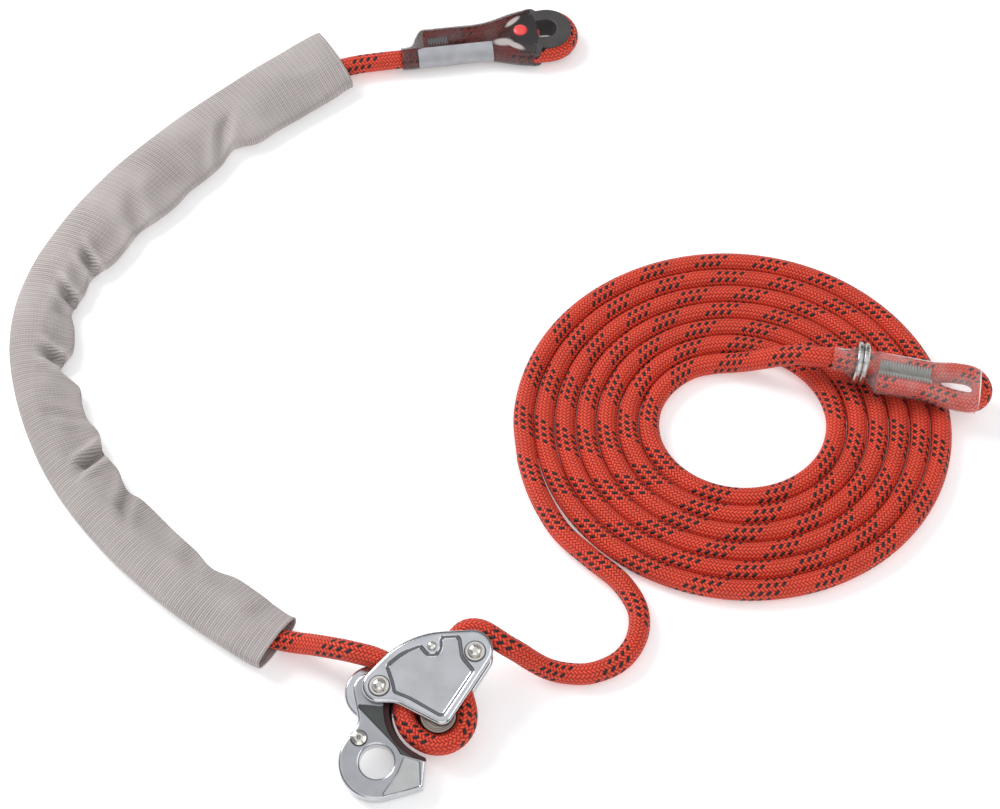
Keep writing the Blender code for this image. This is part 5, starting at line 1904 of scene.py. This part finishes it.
# Sleeve
@dataclass
class ProtectiveSleeve:
    """Woven tube round the rope, pushed into folds along the inside of the bend."""

    wardrobe: Wardrobe
    reach: float = 0.0200
    height: float = 0.0162
    start: float = 0.0405
    length: float = 0.5675
    first_slant: float = 0.17
    last_slant: float = -0.24
    rings: int = 460
    around: int = 72
    flat_width: float = 0.092
    flat_length: float = 0.600
    wall: float = 0.0009
    end_run: float = 0.022
    rope_top: float = 0.0090
    rope_cover: float = 0.0074
    lowest: float = 0.0004
    least_top: float = 0.0030
    squareness: float = 0.62
    inner_sag: float = 0.40
    outer_sag: float = 0.16
    resting_height: float = 0.0080
    fold_waves: float = 3.6
    soft_depth: float = 0.0016
    slack_depth: float = 0.0032
    # Painted fold shading: how fast it darkens the creases and lightens the folds' tops.
    crease_shade_rate: float = 95
    fold_light_rate: float = 50
    line_step: float = 0.0005
    aim_steps: int = 10
    # The limits of the painted fold shading.
    darkest: float = -0.40
    brightest: float = 0.10

    OUTER = (1.62, 1.48, 1.33, 1.23, 1.14, 1.08, 1.03, 1.0, 0.98, 0.99, 1.03, 1.05, 1.07, 1.09, 1.1, 1.12,
             1.1, 1.07, 1.01, 0.91, 0.77, 0.65, 0.57, 0.56, 0.6, 0.66, 0.72, 0.77, 0.8, 0.83, 0.83, 0.84,
             0.85, 0.86, 0.87, 0.92, 1.0)
    INNER = (0.8, 1.04, 1.18, 1.27, 1.3, 1.34, 1.07, 1.33, 1.41, 1.39, 1.45, 1.35, 1.16, 1.17, 1.1, 0.78,
             0.81, 0.69, 0.95, 1.02, 0.72, 1.27, 1.28, 1.27, 1.38, 1.16, 1.19, 0.99, 1.11, 1.11, 1.07, 1.05,
             0.91, 1.08, 1.07, 0.94, 0.75)
    # Folds: place along the sleeve, slant, depth, reach along, all but the slant in metres
    FOLDS = ((0.086, 0.9, 0.0022, 0.013), (0.171, 0.8, 0.0017, 0.016), (0.224, 0.6, 0.0050, 0.009),
             (0.254, 0.6, 0.0056, 0.009), (0.303, 0.5, 0.0056, 0.010), (0.350, 0.5, 0.0014, 0.010),
             (0.400, -0.3, 0.0054, 0.009), (0.444, -0.8, 0.0028, 0.012), (0.500, -0.6, 0.0014, 0.018),
             (0.545, 0.3, 0.0018, 0.014))

    def __post_init__(self) -> None:
        """Starts the list of the cloth's painted fold shading: painted shade in its creases, painted light
        on its folds' tops.
        """
        self.fold_shading_values: list[float] = []

    @staticmethod
    def share(table: tuple, place: float) -> float:
        """Reads a table of shares smoothly.

        Args:
            table: the shares.
            place: where it is read, from 0 to 1.

        Returns:
            The share there.
        """
        at = place * (len(table) - 1)
        i = min(int(at), len(table) - 2)
        a, b, c, d = table[max(i - 1, 0)], table[i], table[i + 1], table[min(i + 2, len(table) - 1)]
        t = at - i
        return b + 0.5 * t * (c - a + t * (2 * a - 5 * b + 4 * c - d + t * (3 * (b - c) + d - a)))

    def folds(self, along: float, across: float, outer: float, inner: float) -> float:
        """Returns how far the cloth stands up or sinks there.

        Args:
            along: the place along the sleeve.
            across: the place across it, outwards from the rope.
            outer: how far its outer edge lies; not used.
            inner: how far its inner edge lies.

        Returns:
            The height to add.
        """
        if inner <= 0:
            return 0.0
        towards_inner = 1 - ease(-inner * 0.50, 0.006, across)
        rise = 0.0
        for place, slant, deep, reach in self.FOLDS:
            at = (along - place + slant * across) / reach
            rise -= deep * math.exp(-at * at) * math.cos(self.fold_waves * at) * towards_inner
        soft = noise.noise(Vector((along * 50, across * 60, 3.1))) * self.soft_depth * (0.2 + towards_inner)
        slack_place = Vector((along * 15 + across * 20, across * 22, 7.7))
        return rise + soft + noise.noise(slack_place) * self.slack_depth * towards_inner

    def ring(self, place: Vector, ahead: Vector, along: float) -> list[Vector]:
        """Returns one ring of the sleeve.

        Args:
            place: the rope's place there.
            ahead: the rope's direction there.
            along: how far along the sleeve it is.

        Returns:
            Its points.
        """
        share = along / self.length
        outward = Vector((ahead.y, -ahead.x, 0)).normalized()
        outer = self.reach * self.share(self.OUTER, share)
        inner = self.reach * self.share(self.INNER, share)
        middle, half = (outer - inner) / 2, (outer + inner) / 2
        first_end = math.exp(-along / self.end_run)
        last_end = math.exp((along - self.length) / self.end_run)
        closed = 1 - first_end - last_end
        lift = max(0.0, place.z - self.resting_height)
        ring = []
        for k in range(self.around):
            angle = math.tau * (k + 0.5) / self.around
            up = math.sin(angle)
            rise = math.copysign(abs(up) ** self.squareness, up)
            across = middle + half * math.cos(angle)
            sag = 1 - closed * (self.inner_sag * (1 - ease(-inner * 0.8, -0.003, across))
                                + self.outer_sag * ease(ROPE_RADIUS, outer, across))
            height = self.height / 2 * (1 + rise * (sag if up > 0 else 1))
            fold = self.folds(along, across, outer, inner) * closed
            # Painted shade in the folds' valleys, painted light on their tops.
            tone = fold * (self.crease_shade_rate if fold < 0 else self.fold_light_rate)
            self.fold_shading_values.append(1 + max(self.darkest, min(self.brightest, tone)))
            if up > 0:
                height += fold * abs(up) ** 0.4
                height = max(height, self.least_top + self.height * 0.5 * (1 + rise) * 0.30)
                over_rope = self.rope_cover ** 2 - across * across
                if over_rope > 0:
                    height = max(height, self.rope_top + math.sqrt(over_rope))
            slant = across * (self.first_slant * first_end + self.last_slant * last_end)
            spot = place + outward * across + ahead * slant
            ring.append(Vector((spot.x, spot.y, lift + max(self.lowest, height))))
        return ring

    def build(self, route: list[Vector]) -> None:
        """Args:
            route: the rope's line from the eye.
        """
        line = resample(route, self.line_step)
        step, margin = route_length(line) / (len(line) - 1), self.aim_steps + 2
        shape = Shape("woven_tube")
        rings = []
        for i in range(self.rings + 1):
            along = self.length * i / self.rings
            at = min(len(line) - margin, max(margin, round((self.start + along) / step)))
            ahead = (line[at + self.aim_steps] - line[at - self.aim_steps]).normalized()
            rings.append(shape.ring(self.ring(line[at], ahead, along)))
        for i in range(self.rings):
            low, high = self.length * i / self.rings, self.length * (i + 1) / self.rings
            for k in range(self.around):
                n = (k + 1) % self.around
                a, b = k / self.around * self.flat_width, (k + 1) / self.around * self.flat_width
                shape.face((rings[i][k], rings[i + 1][k], rings[i + 1][n], rings[i][n]),
                           uv=[(a, low), (a, high), (b, high), (b, low)])
        item = shape.make([self.wardrobe.cloth])
        layer = item.data.attributes.new("painted_fold_shading", "FLOAT", "POINT")
        layer.data.foreach_set("value", self.fold_shading_values)
        thicken(item, self.wall)
        hand_in(item, Body.LANYARD, "protective_sleeve")


# Studio
@dataclass
class Studio:
    """Camera, floor and soft lights."""

    distance: float = 1.626
    elevation: float = math.radians(56)
    target: tuple = (0.0015, -0.0215, 0.0)
    lens: float = 97.2
    floor_side: float = 6.0
    floor_height: float = -0.0002

    # Height and brightness of the surroundings, from below to above
    SKY = ((0.0, 0.80), (0.30, 0.10), (0.50, 0.10), (0.66, 0.34), (0.80, 0.50), (1.0, 1.0))

    def camera(self) -> None:
        """Sets up the camera at the photograph's viewing angle."""
        data = bpy.data.cameras.new("camera")
        data.lens = self.lens
        data.sensor_width = 36
        data.sensor_fit = "HORIZONTAL"
        data.clip_start = 0.05
        item = add_object("camera", data)
        back = Vector((0, -math.cos(self.elevation), math.sin(self.elevation)))
        item.location = Vector(self.target) + back * self.distance
        item.rotation_euler = (math.pi / 2 - self.elevation, 0, 0)
        bpy.context.scene.camera = item

    def floor(self) -> None:
        """Lays the pale floor."""
        recipe = Recipe("pale_floor")
        cloud = recipe.noise(3.0, 2)
        recipe.set(Base_Color=recipe.mix(cloud, (0.90, 0.90, 0.90), (0.92, 0.92, 0.92)), Roughness=0.9,
                   Emission_Color=(1.0, 1.0, 1.0), Emission_Strength=0.3)
        shape = Shape("floor")
        far, z = self.floor_side, self.floor_height
        shape.face(tuple(shape.ring([(-far, -far, z), (far, -far, z), (far, far, z), (-far, far, z)])))
        shape.make([recipe.material])

    def lamp(self, name: str, place: tuple, size: float, power: float) -> None:
        """Adds a soft lamp that faces the object.

        Args:
            name: its name.
            place: where it stands.
            size: its side.
            power: its strength in watts.
        """
        data = bpy.data.lights.new(name, "AREA")
        data.size = size
        data.energy = power
        item = add_object(name, data)
        item.location = place
        item.rotation_euler = (-Vector(place)).to_track_quat("-Z", "Y").to_euler()

    def lights(self) -> None:
        """Adds the lamps and the pale surroundings."""
        world = bpy.data.worlds.new("studio")
        bpy.context.scene.world = world
        world.use_nodes = True
        tree = world.node_tree
        shade = tree.nodes["Background"]
        place = tree.nodes.new("ShaderNodeTexCoord")
        parts = tree.nodes.new("ShaderNodeSeparateXYZ")
        ramp = tree.nodes.new("ShaderNodeValToRGB")
        tree.links.new(place.outputs["Generated"], parts.inputs[0])
        tree.links.new(parts.outputs[2], ramp.inputs[0])
        tree.links.new(ramp.outputs[0], shade.inputs[0])
        ramp.color_ramp.interpolation = "EASE"
        for i, (level, tone) in enumerate(self.SKY):
            stop = ramp.color_ramp.elements[i] if i < 2 else ramp.color_ramp.elements.new(level)
            stop.position = level
            stop.color = (tone * 0.95, tone * 0.97, tone, 1)
        shade.inputs[1].default_value = 1.0
        self.lamp("key", (-1.5, 1.0, 1.5), 1.2, 40)
        self.lamp("fill", (1.5, -0.6, 1.5), 1.5, 10)
        self.lamp("front", (0.0, -1.9, 1.2), 1.6, 9)
        bpy.context.scene.view_settings.view_transform = "Standard"

    def build(self) -> None:
        """Sets up the studio."""
        self.camera()
        self.floor()
        self.lights()


def main() -> None:
    """Builds the lanyard in order."""
    logging.basicConfig(level=logging.INFO, format="%(name)s: %(message)s")
    Studio().build()
    wardrobe = Wardrobe()
    adjuster, eye, end = CamAdjuster(wardrobe), ThimbleEye(wardrobe), StopperEnd(wardrobe)
    upper_line = LanyardRope(wardrobe).build(eye, adjuster, end)
    adjuster.build()
    eye.build()
    end.build()
    ProtectiveSleeve(wardrobe).build(upper_line)


if __name__ == "__main__":
    main()
